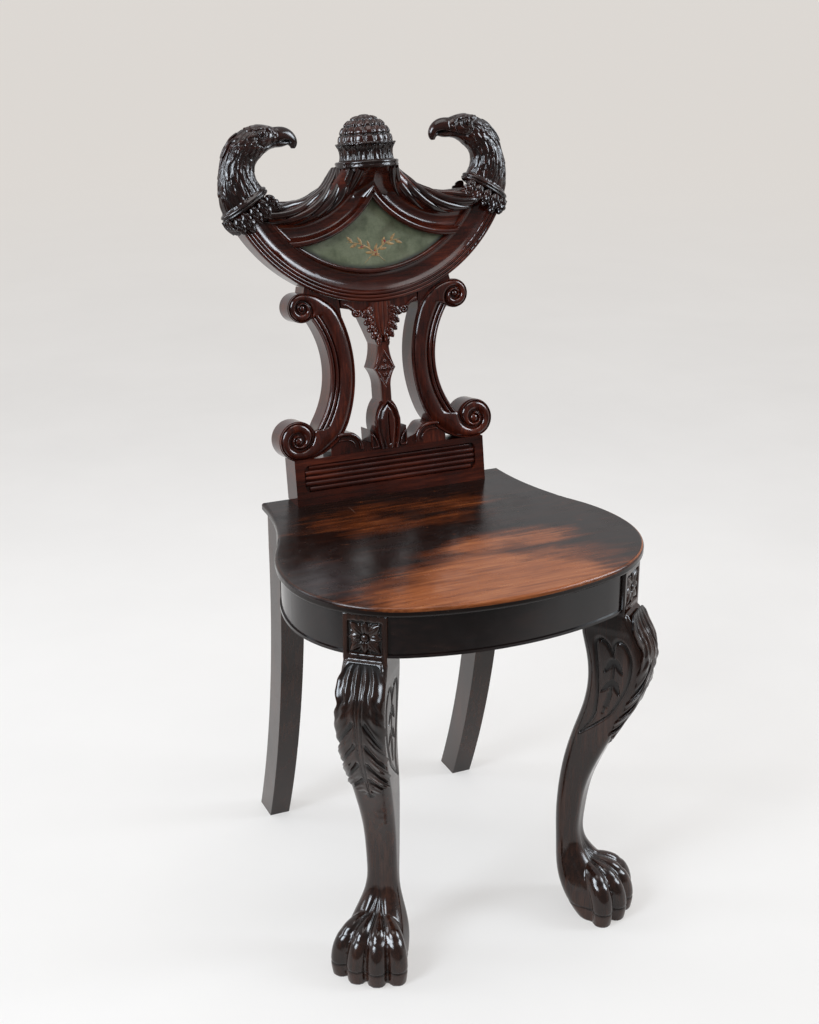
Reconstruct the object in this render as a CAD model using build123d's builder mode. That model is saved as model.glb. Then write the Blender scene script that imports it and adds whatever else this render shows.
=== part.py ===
"""Hall chair with an eagle-headed crest, scroll uprights, bell-shaped seat and paw feet.

Millimetres, +Z up, the front faces -Y. The origin is on the floor, on the centre line,
half way between the front edge of the seat and the heels of the rear legs.
"""
import os
from math import asin, atan2, cos, degrees, pi, radians, sin, sqrt

from build123d import *

os.makedirs("parts", exist_ok=True)

# Seat board
SEAT_HEIGHT = 440.0
SEAT_THICKNESS = 11.0
SEAT_WIDTH = 404.0
REAR_NARROWING = 51.0
SEAT_DEPTH = 356.0
FRONT_RADIUS = 370.0
CORNER_RADIUS = 126.0
SIDE_TURN_NARROWING = 18.0
SIDE_TURN_FROM_FRONT = 216.5
SEAT_EDGE_ROUND = 3.5

# Seat frame
RAIL_SETBACK = 6.0
RAIL_THICKNESS = 24.0
RAIL_DEPTH = 45.0
BEAD_HEIGHT = 3.0
BEAD_PROUD = 1.6
TENON_THICKNESS = 9.0
TENON_HEIGHT = 28.0
TENON_LENGTH = 13.0
MORTISE_ROOM = 0.15
CURVE_GAP = 0.15

# Front legs
LEG_ANGLE = 39.5
LEG_BLOCK = 46.0
LEG_SETBACK = 4.2
BLOCK_DROP = 5.0
BLOCK_PANEL = 36.0
BLOCK_PANEL_DEPTH = 2.5
# Height, front and back reach from the block's face, width and corner radius of each leg section
LEG_STATIONS = (
    (362.0, 12.0, -47.5, 48.0, 6.0),
    (345.0, 21.0, -46.0, 49.0, 8.0),
    (326.0, 25.0, -41.5, 50.0, 9.0),
    (298.0, 21.0, -39.0, 49.0, 9.0),
    (268.0, 10.5, -43.0, 47.0, 9.0),
    (235.0, -6.5, -53.0, 44.0, 9.0),
    (200.0, -23.0, -63.0, 40.0, 9.0),
    (160.0, -38.0, -70.0, 36.0, 9.0),
    (115.0, -45.0, -73.0, 34.0, 10.0),
    (80.0, -42.0, -72.0, 38.0, 13.0),
    (56.0, -22.0, -69.0, 54.0, 18.0),
    (34.0, -1.0, -62.0, 68.0, 22.0),
    (16.0, 5.0, -52.0, 71.0, 22.0),
    (0.0, 3.0, -38.0, 68.0, 18.0),
)
TOE_ROOT_REACH = -47.0
TOE_SPREAD = (-36.0, -12.0, 12.0, 36.0)
# Reach from the root, height, slope, half height and half width of each toe section
TOE_STATIONS = (
    (10.0, 58.0, -38.0, 9.0, 8.0),
    (27.0, 50.0, -24.0, 12.0, 11.0),
    (44.0, 38.0, -50.0, 14.0, 11.8),
    (52.5, 21.0, -80.0, 12.0, 11.5),
    (52.5, 4.0, -95.0, 10.5, 10.5),
    (51.0, -6.0, -97.0, 9.5, 10.0),
)

# Rosette in the leg block, with petals that slope to their edges
ROSETTE_PETALS = 8
PETAL_START = 4.0
PETAL_END = 17.0
PETAL_HALF = 3.6
PETAL_HEIGHT = 2.3
PETAL_SLOPE = 35.0
BUTTON_RADIUS = 3.6

# Leaf carved over the knee, in lobes that narrow to a tip
LEAF_TIP = 229.0
LEAF_HALF = 20.5
LEAF_RAISE = 2.4
LEAF_LOBES = 6
LEAF_NOTCH = 2.6
LEAF_LOBE_SWELL = 0.6
LEAF_TAPER = 2.6
LEAF_ROOT = 16.0
LEAF_STATIONS = 7

# Rear legs
REAR_LEG_DEPTH = 36.0
REAR_LEG_WIDTH = 29.5
REAR_FOOT_WIDTH = 25.0
REAR_LEG_SWEEP = 78.5
REAR_LEG_INSET = 1.5

# Corner blocks and their screws
CORNER_BLOCK_HEIGHT = 26.0
CORNER_BLOCK_REACH = 62.0
CORNER_BLOCK_WIDTH = 92.0
REAR_BLOCK_LEG = 52.0
SCREW_RADIUS = 2.2
SCREW_HEAD_RADIUS = 4.4
SCREW_HEAD_HEIGHT = 2.6
SCREW_ROOM = 0.15
SCREW_BITE = 13.0
SEAT_SCREW_BITE = 6.5
SCREW_SPREAD = 32.0
REAR_SCREW_BITE = 7.0
SEAT_SCREW_OFFSET = 20.0
SEAT_SCREW_INSET = 9.0

# Raked back
BACK_RAKE = 9.3
BACK_THICKNESS = 32.0
PLINTH_WIDTH = 237.0
PLINTH_HEIGHT = 53.0
PANEL_MARGIN = 11.0
PANEL_BOTTOM = 15.0
PANEL_TOP_MARGIN = 7.0
PANEL_DEPTH = 4.0
REED_COUNT = 5
REED_GROOVE = 0.4
BACK_DOWEL_RADIUS = 6.0
BACK_DOWEL_SPACING = 80.0
BACK_DOWEL_IN_RAIL = 22.0
BACK_DOWEL_IN_PLINTH = 24.0
DOWEL_ROOM = 0.1

# Scroll uprights, as distances from the centre line and up the back
UPRIGHT_INNER = 35.5
UPRIGHT_OUTER = 65.5
UPRIGHT_CONVEX_RADIUS = 158.0
UPRIGHT_CONCAVE_RADIUS = 106.0
UPRIGHT_MIDDLE = 150.0
LOWER_VOLUTE_X = 110.5
LOWER_VOLUTE_RADIUS = 22.5
LOWER_VOLUTE_SINK = 1.0
UPPER_VOLUTE_X = 94.0
UPPER_VOLUTE_RISE = 223.0
UPPER_VOLUTE_RADIUS = 16.5
SPIRAL_TURNS = 1.6
SPIRAL_DEPTH = 4.0
SPIRAL_GROOVE = 0.17
SPIRAL_EYE = 0.3
SPIRAL_STEPS = 18
LOWER_SPIRAL_START = 150.0
UPPER_SPIRAL_START = 222.0
CONVEX_SPAN = 44.0
CONCAVE_SPAN = 66.0
FOOT_ARC_SHIFT = 5.5
UPRIGHT_NECK_IN = 20.0
UPRIGHT_NECK_OUT = 15.0
UPRIGHT_GROOVE = 2.2
UPRIGHT_GROOVE_DEPTH = 2.0
UPRIGHT_GROOVE_INSETS = (3.0, 8.0)
UPRIGHT_GROOVE_LENGTH = 106.0
SCROLL_DOWEL_RADIUS = 4.5
SCROLL_DOWEL_HALF = 18.0
LOWER_DOWEL_X = 98.0
UPPER_DOWEL_X = 72.0

# Splat
SPLAT_TENON_WIDTH = 14.0
SPLAT_TENON_THICKNESS = 10.0
SPLAT_TENON_LENGTH = 14.0
HUSK_WIDTH = 46.0
HUSK_DROP = 42.0
HUSK_SHOULDER = 10.0
HUSK_MIDDLE = (14.7, 29.4)
WING_DROP = 4.0
WING_SLOPE = 0.2
NECK_WIDTH = 14.0
LOZENGE_WIDTH = 27.0
LOZENGE_RISE = 146.0
STEM_WIDTH = 12.0
STEM_RISE = 125.0
LOTUS_WIDTH = 31.0
LOTUS_RISE = 87.0
LOTUS_TIP = 109.0
LOTUS_FOOT_WIDTH = 22.0
LOTUS_FOOT_SLOPE = 0.2
BLADE_FOOT = 6.0
BLADE_REACH = 22.7
BLADE_CROTCH = 6.0
BRACKET_REACH = 72.0
BRACKET_HEIGHT = 24.0
BRACKET_HOLLOW = (32.3, 12.0)
BRACKET_SLOPE = 0.1

# Crest board
CREST_RISE = 402.5
CREST_RADIUS = 180.0
REED_BAND = 11.5
RIM_REEDS = 3
COVE_INNER = 148.5
TABLET_RADIUS = 143.0
FIELD_DEPTH = 8.0
SWAG_X = 96.0
SWAG_RISE = 410.0
SWAG_TOP_RADIUS = 73.5
SWAG_BOTTOM_RADIUS = 95.0
BAND_RADIUS = 113.0
TABLET_ARC_RADIUS = 117.5
SWAG_BULGE = 11.0
SWAG_EDGE = 5.0
BEAD_FOOT = 6.5
BEAD_RISE = 2.4
COVE_DEPTH = 8.0
REED_FOOT = 2.0
RIM_LIP = 0.5
MOULDING_ROOT = 2.0
TABLET_THICKNESS = 3.0
TABLET_ROOM = 0.15
CREST_TOP = 371.0
NECK_RADIUS = 30.0
NECK_FOOT_RADIUS = 17.0
NECK_LENGTH = 28.0

# Finial
FINIAL_AXIS_DEPTH = 12.5
RING_RADIUS = 36.0
RING_HEIGHT = 8.0
COLLAR_RADIUS = 33.0
COLLAR_HEIGHT = 19.0
COLLAR_WAIST = 2.0
COLLAR_HOLLOW = 2.8
DOME_RADIUS = 31.5
DOME_RIBS = 16
DOME_GROOVE = 2.4
DOME_GROOVE_START = 4.0
DOME_GROOVE_ARC = 68.0
FINIAL_DOWEL_RADIUS = 7.0
FINIAL_DOWEL_HALF = 20.0

# Eagle heads
COLLAR_OUTER = (168.5, 322.5)
COLLAR_INNER = (120.0, 351.5)
COLLAR_BAND = 8.0
COLLAR_LIP = 2.5
COLLAR_ROUND = 3.2
COLLAR_OVERRUN = 18.0
EAGLE_DOWEL_RADIUS = 5.0
EAGLE_DOWEL_HALF = 17.0
# Section centre, direction in degrees, half width in the plane of the back and half depth
EAGLE_STATIONS = (
    (148.6, 344.0, 60.0, 26.5, 16.5),
    (152.0, 362.0, 84.0, 23.5, 17.0),
    (151.5, 378.0, 101.0, 20.5, 16.5),
    (146.0, 392.5, 122.0, 19.5, 16.0),
    (134.5, 404.0, 148.0, 19.0, 16.0),
    (119.5, 409.5, 172.0, 15.5, 14.0),
    (107.0, 410.0, 180.0, 11.5, 9.5),
)
BEAK_STATIONS = (
    (112.0, 410.0, 180.0, 12.0, 10.0),
    (101.0, 410.2, 184.0, 11.2, 8.5),
    (91.0, 408.6, 205.0, 9.6, 7.0),
    (85.0, 403.5, 243.0, 6.0, 5.0),
    (85.0, 397.0, 275.0, 2.2, 2.4),
)
EYE_PLACE = (123.0, 414.5)
EYE_RADIUS = 4.2
EYE_OUT = 12.5

# Places that follow from the sizes above
HALF_DEPTH = (SEAT_DEPTH - REAR_LEG_INSET + REAR_LEG_SWEEP) / 2
SEAT_FRONT = -HALF_DEPTH
SEAT_BACK = SEAT_FRONT + SEAT_DEPTH
SEAT_UNDERSIDE = SEAT_HEIGHT - SEAT_THICKNESS
RAIL_BOTTOM = SEAT_UNDERSIDE - RAIL_DEPTH
RAIL_MIDDLE = SEAT_UNDERSIDE - RAIL_DEPTH / 2
BLOCK_BOTTOM = RAIL_BOTTOM - BLOCK_DROP
CORNER_X = SEAT_WIDTH / 2 - CORNER_RADIUS
SIDE_TURN_X = SEAT_WIDTH / 2 - SIDE_TURN_NARROWING
SEAT_REAR_X = SEAT_WIDTH / 2 - REAR_NARROWING
FRONT_CENTRE_Y = SEAT_FRONT + FRONT_RADIUS
CORNER_Y = FRONT_CENTRE_Y - sqrt((FRONT_RADIUS - CORNER_RADIUS) ** 2 - CORNER_X**2)
FRONT_ARC = degrees(asin(CORNER_X / (FRONT_RADIUS - CORNER_RADIUS)))
LEG_OUT = Vector(sin(radians(LEG_ANGLE)), -cos(radians(LEG_ANGLE)), 0)
LEG_ACROSS = Vector(cos(radians(LEG_ANGLE)), sin(radians(LEG_ANGLE)), 0)
LEG_FACE = Vector(CORNER_X, CORNER_Y, 0) + LEG_OUT * (CORNER_RADIUS - LEG_SETBACK)
TENON_SET = RAIL_SETBACK + RAIL_THICKNESS / 2 - LEG_SETBACK
REAR_LEG_BACK = SEAT_BACK - REAR_LEG_INSET
REAR_LEG_FRONT = REAR_LEG_BACK - REAR_LEG_DEPTH
REAR_LEG_OUTER = SEAT_REAR_X - RAIL_SETBACK
REAR_LEG_INNER = REAR_LEG_OUTER - REAR_LEG_WIDTH
REAR_RAIL_BACK = SEAT_BACK - RAIL_SETBACK
REAR_RAIL_FRONT = REAR_RAIL_BACK - RAIL_THICKNESS
RAKE = radians(BACK_RAKE)
PLINTH_FRONT = SEAT_BACK - BACK_THICKNESS / cos(RAKE)
BACK = Plane(origin=(0, PLINTH_FRONT, SEAT_HEIGHT), x_dir=(1, 0, 0), z_dir=(0, -cos(RAKE), sin(RAKE)))
MID_DEPTH = -BACK_THICKNESS / 2
FAR = 600.0
FROM_FOOT = (Align.CENTER, Align.CENTER, Align.MIN)


def leg_plane(height, out=0.0):
    """Level plane on the right front leg: x runs outwards from the block's face, y across it."""
    return Plane(origin=LEG_FACE + LEG_OUT * out + Vector(0, 0, height), x_dir=LEG_OUT, z_dir=(0, 0, 1))


def back_plane(x, rise, depth=0.0):
    """Plane parallel to the raked back, at a place measured along it and in from its face."""
    return Plane(origin=BACK.from_local_coords((x, rise, depth)), x_dir=BACK.x_dir, z_dir=BACK.z_dir)


def across_back(x, rise, depth, turn):
    """Plane square to the raked back, facing along it at an angle from its level direction."""
    facing = BACK.x_dir * cos(radians(turn)) + BACK.y_dir * sin(radians(turn))
    return Plane(origin=BACK.from_local_coords((x, rise, depth)), x_dir=BACK.z_dir, z_dir=facing)


def turning_plane(x, rise):
    """Plane for a moulding turned about an axis square to the back: x is radius, y is depth."""
    return Plane(origin=BACK.from_local_coords((x, rise, 0)), x_dir=-BACK.y_dir, z_dir=-BACK.x_dir)


def mirrored(piece):
    """The same piece on the other side of the chair."""
    return mirror(piece, about=Plane.YZ)


def save(builder, name):
    builder.part.label = name
    export_step(builder.part, f"parts/{name}.step")


def seat_outline(inset, height):
    """Bell-shaped outline of the seat, drawn in from its edge."""
    with BuildSketch(Plane.XY.offset(height)) as outline:
        with BuildLine():
            CenterArc((0, FRONT_CENTRE_Y), FRONT_RADIUS, -90, FRONT_ARC)
            corner = CenterArc((CORNER_X, CORNER_Y), CORNER_RADIUS, FRONT_ARC - 90, 90 - FRONT_ARC)
            turn_point = (SIDE_TURN_X, SEAT_FRONT + SIDE_TURN_FROM_FRONT)
            side = TangentArc(corner @ 1, turn_point, tangent=corner % 1)
            flare = TangentArc(side @ 1, (SEAT_REAR_X, SEAT_BACK), tangent=side % 1)
            Line(flare @ 1, (0, SEAT_BACK))
            mirror(about=Plane.YZ)
        make_face()
        if inset:
            offset(amount=-inset, mode=Mode.REPLACE)
    return outline.sketch


# Shared outlines
seat_face = seat_outline(0.0, SEAT_UNDERSIDE)
rail_outer = seat_outline(RAIL_SETBACK, RAIL_BOTTOM)
rail_inner = seat_outline(RAIL_SETBACK + RAIL_THICKNESS, RAIL_BOTTOM)
bead_outer = seat_outline(RAIL_SETBACK - BEAD_PROUD, RAIL_BOTTOM)
block_room = seat_outline(RAIL_SETBACK + RAIL_THICKNESS + CURVE_GAP, SEAT_UNDERSIDE)

# Places of dowels and screws
back_dowel_y = (REAR_RAIL_FRONT + REAR_RAIL_BACK) / 2
back_dowel_places = [(x, back_dowel_y) for x in (-BACK_DOWEL_SPACING, 0, BACK_DOWEL_SPACING)]
back_dowel_foot = Plane.XY.offset(SEAT_UNDERSIDE - BACK_DOWEL_IN_RAIL)
back_dowel_length = BACK_DOWEL_IN_RAIL + SEAT_THICKNESS + BACK_DOWEL_IN_PLINTH

block_middle = SEAT_UNDERSIDE - CORNER_BLOCK_HEIGHT / 2
block_foot = SEAT_UNDERSIDE - CORNER_BLOCK_HEIGHT
leg_radius = CORNER_RADIUS - LEG_SETBACK
rail_inner_radius = CORNER_RADIUS - RAIL_SETBACK - RAIL_THICKNESS
front_screw_reach = sqrt(rail_inner_radius**2 - SCREW_SPREAD**2) - leg_radius
front_screw_length = CORNER_BLOCK_REACH + front_screw_reach + SCREW_BITE
front_screw_planes = []
for spread in (-SCREW_SPREAD, SCREW_SPREAD):
    head = LEG_FACE - LEG_OUT * CORNER_BLOCK_REACH + LEG_ACROSS * spread + Vector(0, 0, block_middle)
    front_screw_planes.append(Plane(origin=head, x_dir=LEG_ACROSS, z_dir=LEG_OUT))
rear_block_inner = Vector(REAR_LEG_INNER - REAR_BLOCK_LEG, REAR_RAIL_FRONT, 0)
rear_block_outer = Vector(REAR_LEG_OUTER, REAR_LEG_FRONT - REAR_BLOCK_LEG, 0)
rear_block_long = (rear_block_outer - rear_block_inner).normalized()
rear_block_in = Vector(-rear_block_long.Y, rear_block_long.X, 0)
rear_leg_corner = Vector(REAR_LEG_INNER, REAR_LEG_FRONT, 0)
rear_screw_run = (rear_leg_corner - rear_block_inner).dot(rear_block_in)
rear_screw_along = (rear_leg_corner - rear_block_inner).dot(rear_block_long) + SCREW_RADIUS
rear_screw_foot = rear_block_inner + rear_block_long * rear_screw_along
rear_screw_plane = Plane(
    origin=rear_screw_foot + Vector(0, 0, block_middle), x_dir=rear_block_long, z_dir=rear_block_in
)
rear_screw_length = rear_screw_run + REAR_SCREW_BITE
front_seat_screw = LEG_FACE - LEG_OUT * (LEG_BLOCK + CORNER_BLOCK_REACH) / 2
rear_seat_screw = rear_screw_foot - rear_block_long * SEAT_SCREW_OFFSET + rear_block_in * SEAT_SCREW_INSET
seat_screw_places = (front_seat_screw, rear_seat_screw)
seat_screw_planes = [Plane.XY.offset(block_foot).moved(Location(place)) for place in seat_screw_places]
seat_screw_length = CORNER_BLOCK_HEIGHT + SEAT_SCREW_BITE
lower_dowel_plane = across_back(LOWER_DOWEL_X, PLINTH_HEIGHT, MID_DEPTH, 90)
upper_dowel_rise = CREST_RISE - sqrt(CREST_RADIUS**2 - UPPER_DOWEL_X**2)
upper_dowel_plane = across_back(UPPER_DOWEL_X, upper_dowel_rise, MID_DEPTH, 90)
collar_line = Vector(*COLLAR_OUTER) - Vector(*COLLAR_INNER)
collar_turn = degrees(atan2(collar_line.X, -collar_line.Y))
collar_centre = (Vector(*COLLAR_OUTER) + Vector(*COLLAR_INNER)) / 2
collar_plane = across_back(collar_centre.X, collar_centre.Y, MID_DEPTH, collar_turn)
finial_dowel_plane = across_back(0, CREST_TOP, -FINIAL_AXIS_DEPTH, 90)
finial_axis = Axis(finial_dowel_plane.origin, BACK.y_dir)


def screw_holes(planes, length):
    """Countersunk clearance holes for screws that start on the given planes."""
    with Locations(*[plane.location for plane in planes]):
        Cylinder(SCREW_RADIUS + SCREW_ROOM, length + SCREW_ROOM, align=FROM_FOOT, mode=Mode.SUBTRACT)
        Cone(
            SCREW_HEAD_RADIUS + SCREW_ROOM,
            SCREW_RADIUS + SCREW_ROOM,
            SCREW_HEAD_HEIGHT + SCREW_ROOM,
            align=FROM_FOOT,
            mode=Mode.SUBTRACT,
        )


def screws(planes, length):
    """Plain countersunk wood screws with their heads on the given planes."""
    with Locations(*[plane.location for plane in planes]):
        Cylinder(SCREW_RADIUS, length, align=FROM_FOOT)
        Cone(SCREW_HEAD_RADIUS, SCREW_RADIUS, SCREW_HEAD_HEIGHT, align=FROM_FOOT)


def dowel_holes(planes, radius, half_length):
    """Blind holes for half of each dowel, to both sides of the given planes."""
    with Locations(*[plane.location for plane in planes]):
        Cylinder(radius + DOWEL_ROOM, 2 * (half_length + DOWEL_ROOM), mode=Mode.SUBTRACT)


# Seat board
with BuildPart() as seat_board:
    extrude(seat_face, amount=SEAT_THICKNESS)
    seat_levels = seat_board.edges().group_by(Axis.Z)
    fillet(seat_levels[-1] + seat_levels[0], SEAT_EDGE_ROUND)
    with Locations(*[(x, y, SEAT_UNDERSIDE) for x, y in back_dowel_places]):
        Cylinder(BACK_DOWEL_RADIUS + DOWEL_ROOM, SEAT_THICKNESS, align=FROM_FOOT, mode=Mode.SUBTRACT)
    for plane in seat_screw_planes:
        other_side = plane.moved(Location((-2 * plane.origin.X, 0, 0)))
        screw_holes([plane, other_side], seat_screw_length)
save(seat_board, "seat_board")

# Front rail, tenoned into the leg blocks
front_mortise = Plane(
    origin=LEG_FACE - LEG_OUT * TENON_SET - LEG_ACROSS * LEG_BLOCK / 2 + Vector(0, 0, RAIL_MIDDLE),
    x_dir=LEG_OUT,
    z_dir=LEG_ACROSS,
)
side_mortise = Plane(
    origin=LEG_FACE - LEG_OUT * TENON_SET + LEG_ACROSS * LEG_BLOCK / 2 + Vector(0, 0, RAIL_MIDDLE),
    x_dir=LEG_OUT,
    z_dir=-LEG_ACROSS,
)
corner_point = (CORNER_X, CORNER_Y)
corner_ray = (CORNER_X + LEG_OUT.X * FAR, CORNER_Y + LEG_OUT.Y * FAR)
with BuildPart() as front_rail:
    extrude(rail_outer, amount=RAIL_DEPTH)
    extrude(bead_outer, amount=BEAD_HEIGHT)
    extrude(rail_inner, amount=RAIL_DEPTH, mode=Mode.SUBTRACT)
    with BuildSketch(Plane.XY.offset(RAIL_BOTTOM)):
        Polygon((0, CORNER_Y), corner_point, corner_ray, (0, -FAR), align=None)
    extrude(amount=RAIL_DEPTH, mode=Mode.INTERSECT)
    with BuildSketch(leg_plane(RAIL_BOTTOM)):
        Rectangle(2 * LEG_BLOCK, LEG_BLOCK)
    extrude(amount=RAIL_DEPTH, mode=Mode.SUBTRACT)
    with BuildSketch(front_mortise):
        Rectangle(TENON_THICKNESS, TENON_HEIGHT)
    extrude(amount=TENON_LENGTH)
    with BuildSketch(front_mortise):
        Rectangle(TENON_THICKNESS, TENON_HEIGHT)
    extrude(amount=-TENON_THICKNESS / 2)
    screw_holes(front_screw_planes, front_screw_length)
    mirror(about=Plane.YZ)
save(front_rail, "front_rail")

# Side rails, bowed with the seat from the leg block to the rear leg
side_tenon = Plane(
    origin=(REAR_LEG_OUTER - RAIL_THICKNESS / 2, REAR_LEG_FRONT, RAIL_MIDDLE),
    x_dir=(1, 0, 0),
    z_dir=(0, 1, 0),
)
with BuildPart() as side_rail_right:
    extrude(rail_outer, amount=RAIL_DEPTH)
    extrude(bead_outer, amount=BEAD_HEIGHT)
    extrude(rail_inner, amount=RAIL_DEPTH, mode=Mode.SUBTRACT)
    with BuildSketch(Plane.XY.offset(RAIL_BOTTOM)):
        Polygon(
            corner_point,
            corner_ray,
            (FAR, CORNER_Y),
            (FAR, REAR_LEG_FRONT),
            (CORNER_X, REAR_LEG_FRONT),
            align=None,
        )
    extrude(amount=RAIL_DEPTH, mode=Mode.INTERSECT)
    with BuildSketch(leg_plane(RAIL_BOTTOM)):
        Rectangle(2 * LEG_BLOCK, LEG_BLOCK)
    extrude(amount=RAIL_DEPTH, mode=Mode.SUBTRACT)
    for mortise in (side_mortise, side_tenon):
        with BuildSketch(mortise):
            Rectangle(TENON_THICKNESS, TENON_HEIGHT)
        extrude(amount=TENON_LENGTH)
        with BuildSketch(mortise):
            Rectangle(TENON_THICKNESS, TENON_HEIGHT)
        extrude(amount=-TENON_THICKNESS / 2)
    screw_holes(front_screw_planes, front_screw_length)
save(side_rail_right, "side_rail_right")

with BuildPart() as side_rail_left:
    add(mirrored(side_rail_right.part))
save(side_rail_left, "side_rail_left")

# Rear rail between the rear legs
rear_tenon = Plane(
    origin=(REAR_LEG_INNER, back_dowel_y, RAIL_MIDDLE), x_dir=(0, 1, 0), z_dir=(1, 0, 0)
)
with BuildPart() as rear_rail:
    with BuildSketch(Plane.XY.offset(RAIL_BOTTOM)):
        with Locations((0, REAR_RAIL_FRONT)):
            Rectangle(2 * REAR_LEG_INNER, RAIL_THICKNESS, align=(Align.CENTER, Align.MIN))
    extrude(amount=RAIL_DEPTH)
    with BuildSketch(rear_tenon):
        Rectangle(TENON_THICKNESS, TENON_HEIGHT)
    extrude(amount=TENON_LENGTH)
    mirror(about=Plane.YZ)
    with Locations(*[(x, y, SEAT_UNDERSIDE) for x, y in back_dowel_places]):
        Cylinder(
            BACK_DOWEL_RADIUS + DOWEL_ROOM,
            BACK_DOWEL_IN_RAIL + DOWEL_ROOM,
            align=(Align.CENTER, Align.CENTER, Align.MAX),
            mode=Mode.SUBTRACT,
        )
save(rear_rail, "rear_rail")


def mortise_hole(plane):
    """Mortise for a rail's tenon, cut in from the given plane."""
    with BuildSketch(plane) as mouth:
        Rectangle(TENON_THICKNESS + 2 * MORTISE_ROOM, TENON_HEIGHT + 2 * MORTISE_ROOM)
    extrude(mouth.sketch, amount=TENON_LENGTH + MORTISE_ROOM, mode=Mode.SUBTRACT)


# Front legs: rosette block, cabriole leg and paw foot in one piece of timber
toe_solids = []
for spread in TOE_SPREAD:
    toe_out = LEG_OUT.rotate(Axis.Z, spread)
    toe_across = LEG_ACROSS.rotate(Axis.Z, spread)
    toe_root = LEG_FACE + LEG_OUT * TOE_ROOT_REACH
    with BuildPart() as toe:
        for reach, height, slope, half_height, half_width in TOE_STATIONS:
            facing = toe_out * cos(radians(slope)) + Vector(0, 0, sin(radians(slope)))
            toe_middle = toe_root + toe_out * reach + Vector(0, 0, height)
            with BuildSketch(Plane(origin=toe_middle, x_dir=toe_across, z_dir=facing)):
                Ellipse(half_width, half_height)
        loft()
    toe_solids.append(toe.part)

block_face = Plane(
    origin=LEG_FACE + Vector(0, 0, (BLOCK_BOTTOM + SEAT_UNDERSIDE) / 2), x_dir=LEG_ACROSS, z_dir=LEG_OUT
)
panel_floor = block_face.offset(-BLOCK_PANEL_DEPTH)
with BuildPart() as petal:
    with BuildSketch(panel_floor):
        with BuildLine():
            petal_middle = (PETAL_START + PETAL_END) / 2
            ThreePointArc((PETAL_START, 0), (petal_middle, PETAL_HALF), (PETAL_END, 0))
            ThreePointArc((PETAL_END, 0), (petal_middle, -PETAL_HALF), (PETAL_START, 0))
        make_face()
    extrude(amount=PETAL_HEIGHT, taper=PETAL_SLOPE)
rosette_axis = Axis(panel_floor.origin, LEG_OUT)
petals = [petal.part.rotate(rosette_axis, turn * 360 / ROSETTE_PETALS) for turn in range(ROSETTE_PETALS)]


def leaf_point(lobe, notch):
    """Point on the right edge of the knee leaf, by the count of lobes from its top."""
    share = lobe / LEAF_LOBES
    half = LEAF_HALF * (1 - share**LEAF_TAPER) - notch * (1 - share)
    return (half, BLOCK_BOTTOM - share * (BLOCK_BOTTOM - LEAF_TIP))


with BuildPart() as raised_knee:
    with BuildSketch(leg_plane(BLOCK_BOTTOM, (LEAF_RAISE - LEG_BLOCK) / 2)):
        RectangleRounded(LEG_BLOCK + LEAF_RAISE, LEG_BLOCK, LEG_STATIONS[0][-1] / 2)
    for height, front, back, width, corner in LEG_STATIONS[:LEAF_STATIONS]:
        with BuildSketch(leg_plane(height, (front + LEAF_RAISE + back) / 2)):
            RectangleRounded(front + LEAF_RAISE - back, width, corner)
    loft()

with BuildPart() as knee_leaf:
    with BuildSketch(Plane(origin=LEG_FACE - LEG_OUT * LEAF_ROOT, x_dir=LEG_ACROSS, z_dir=LEG_OUT)):
        with BuildLine():
            Line((0, BLOCK_BOTTOM), leaf_point(0, LEAF_NOTCH))
            for lobe in range(LEAF_LOBES):
                lobe_end = leaf_point(lobe + 1, LEAF_NOTCH)
                ThreePointArc(leaf_point(lobe, LEAF_NOTCH), leaf_point(lobe + LEAF_LOBE_SWELL, 0), lobe_end)
            mirror(about=Plane.YZ)
        make_face()
    extrude(amount=LEG_BLOCK + LEAF_ROOT)
    add(raised_knee.part, mode=Mode.INTERSECT)

with BuildPart() as front_leg_right:
    for height, front, back, width, corner in LEG_STATIONS:
        with BuildSketch(leg_plane(height, (front + back) / 2)):
            RectangleRounded(front - back, width, corner)
    loft()
    with BuildSketch(leg_plane(BLOCK_BOTTOM)):
        Rectangle(LEG_BLOCK, LEG_BLOCK, align=(Align.MAX, Align.CENTER))
    extrude(amount=SEAT_UNDERSIDE - BLOCK_BOTTOM)
    top_height, top_front, top_back, top_width, top_corner = LEG_STATIONS[0]
    with BuildSketch(leg_plane(BLOCK_BOTTOM, -LEG_BLOCK / 2)):
        RectangleRounded(LEG_BLOCK, LEG_BLOCK, top_corner / 2)
    with BuildSketch(leg_plane(top_height, (top_front + top_back) / 2)):
        RectangleRounded(top_front - top_back, top_width, top_corner)
    loft()
    add(toe_solids)
    with BuildSketch(block_face):
        Rectangle(BLOCK_PANEL, BLOCK_PANEL)
    extrude(amount=-BLOCK_PANEL_DEPTH, mode=Mode.SUBTRACT)
    add(petals)
    with Locations(panel_floor.origin):
        Sphere(BUTTON_RADIUS)
    add(knee_leaf.part)
    mortise_hole(front_mortise)
    mortise_hole(side_mortise)
    split(bisect_by=Plane.XY, keep=Keep.TOP)
save(front_leg_right, "front_leg_right")

with BuildPart() as front_leg_left:
    add(mirrored(front_leg_right.part))
save(front_leg_left, "front_leg_left")

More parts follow.
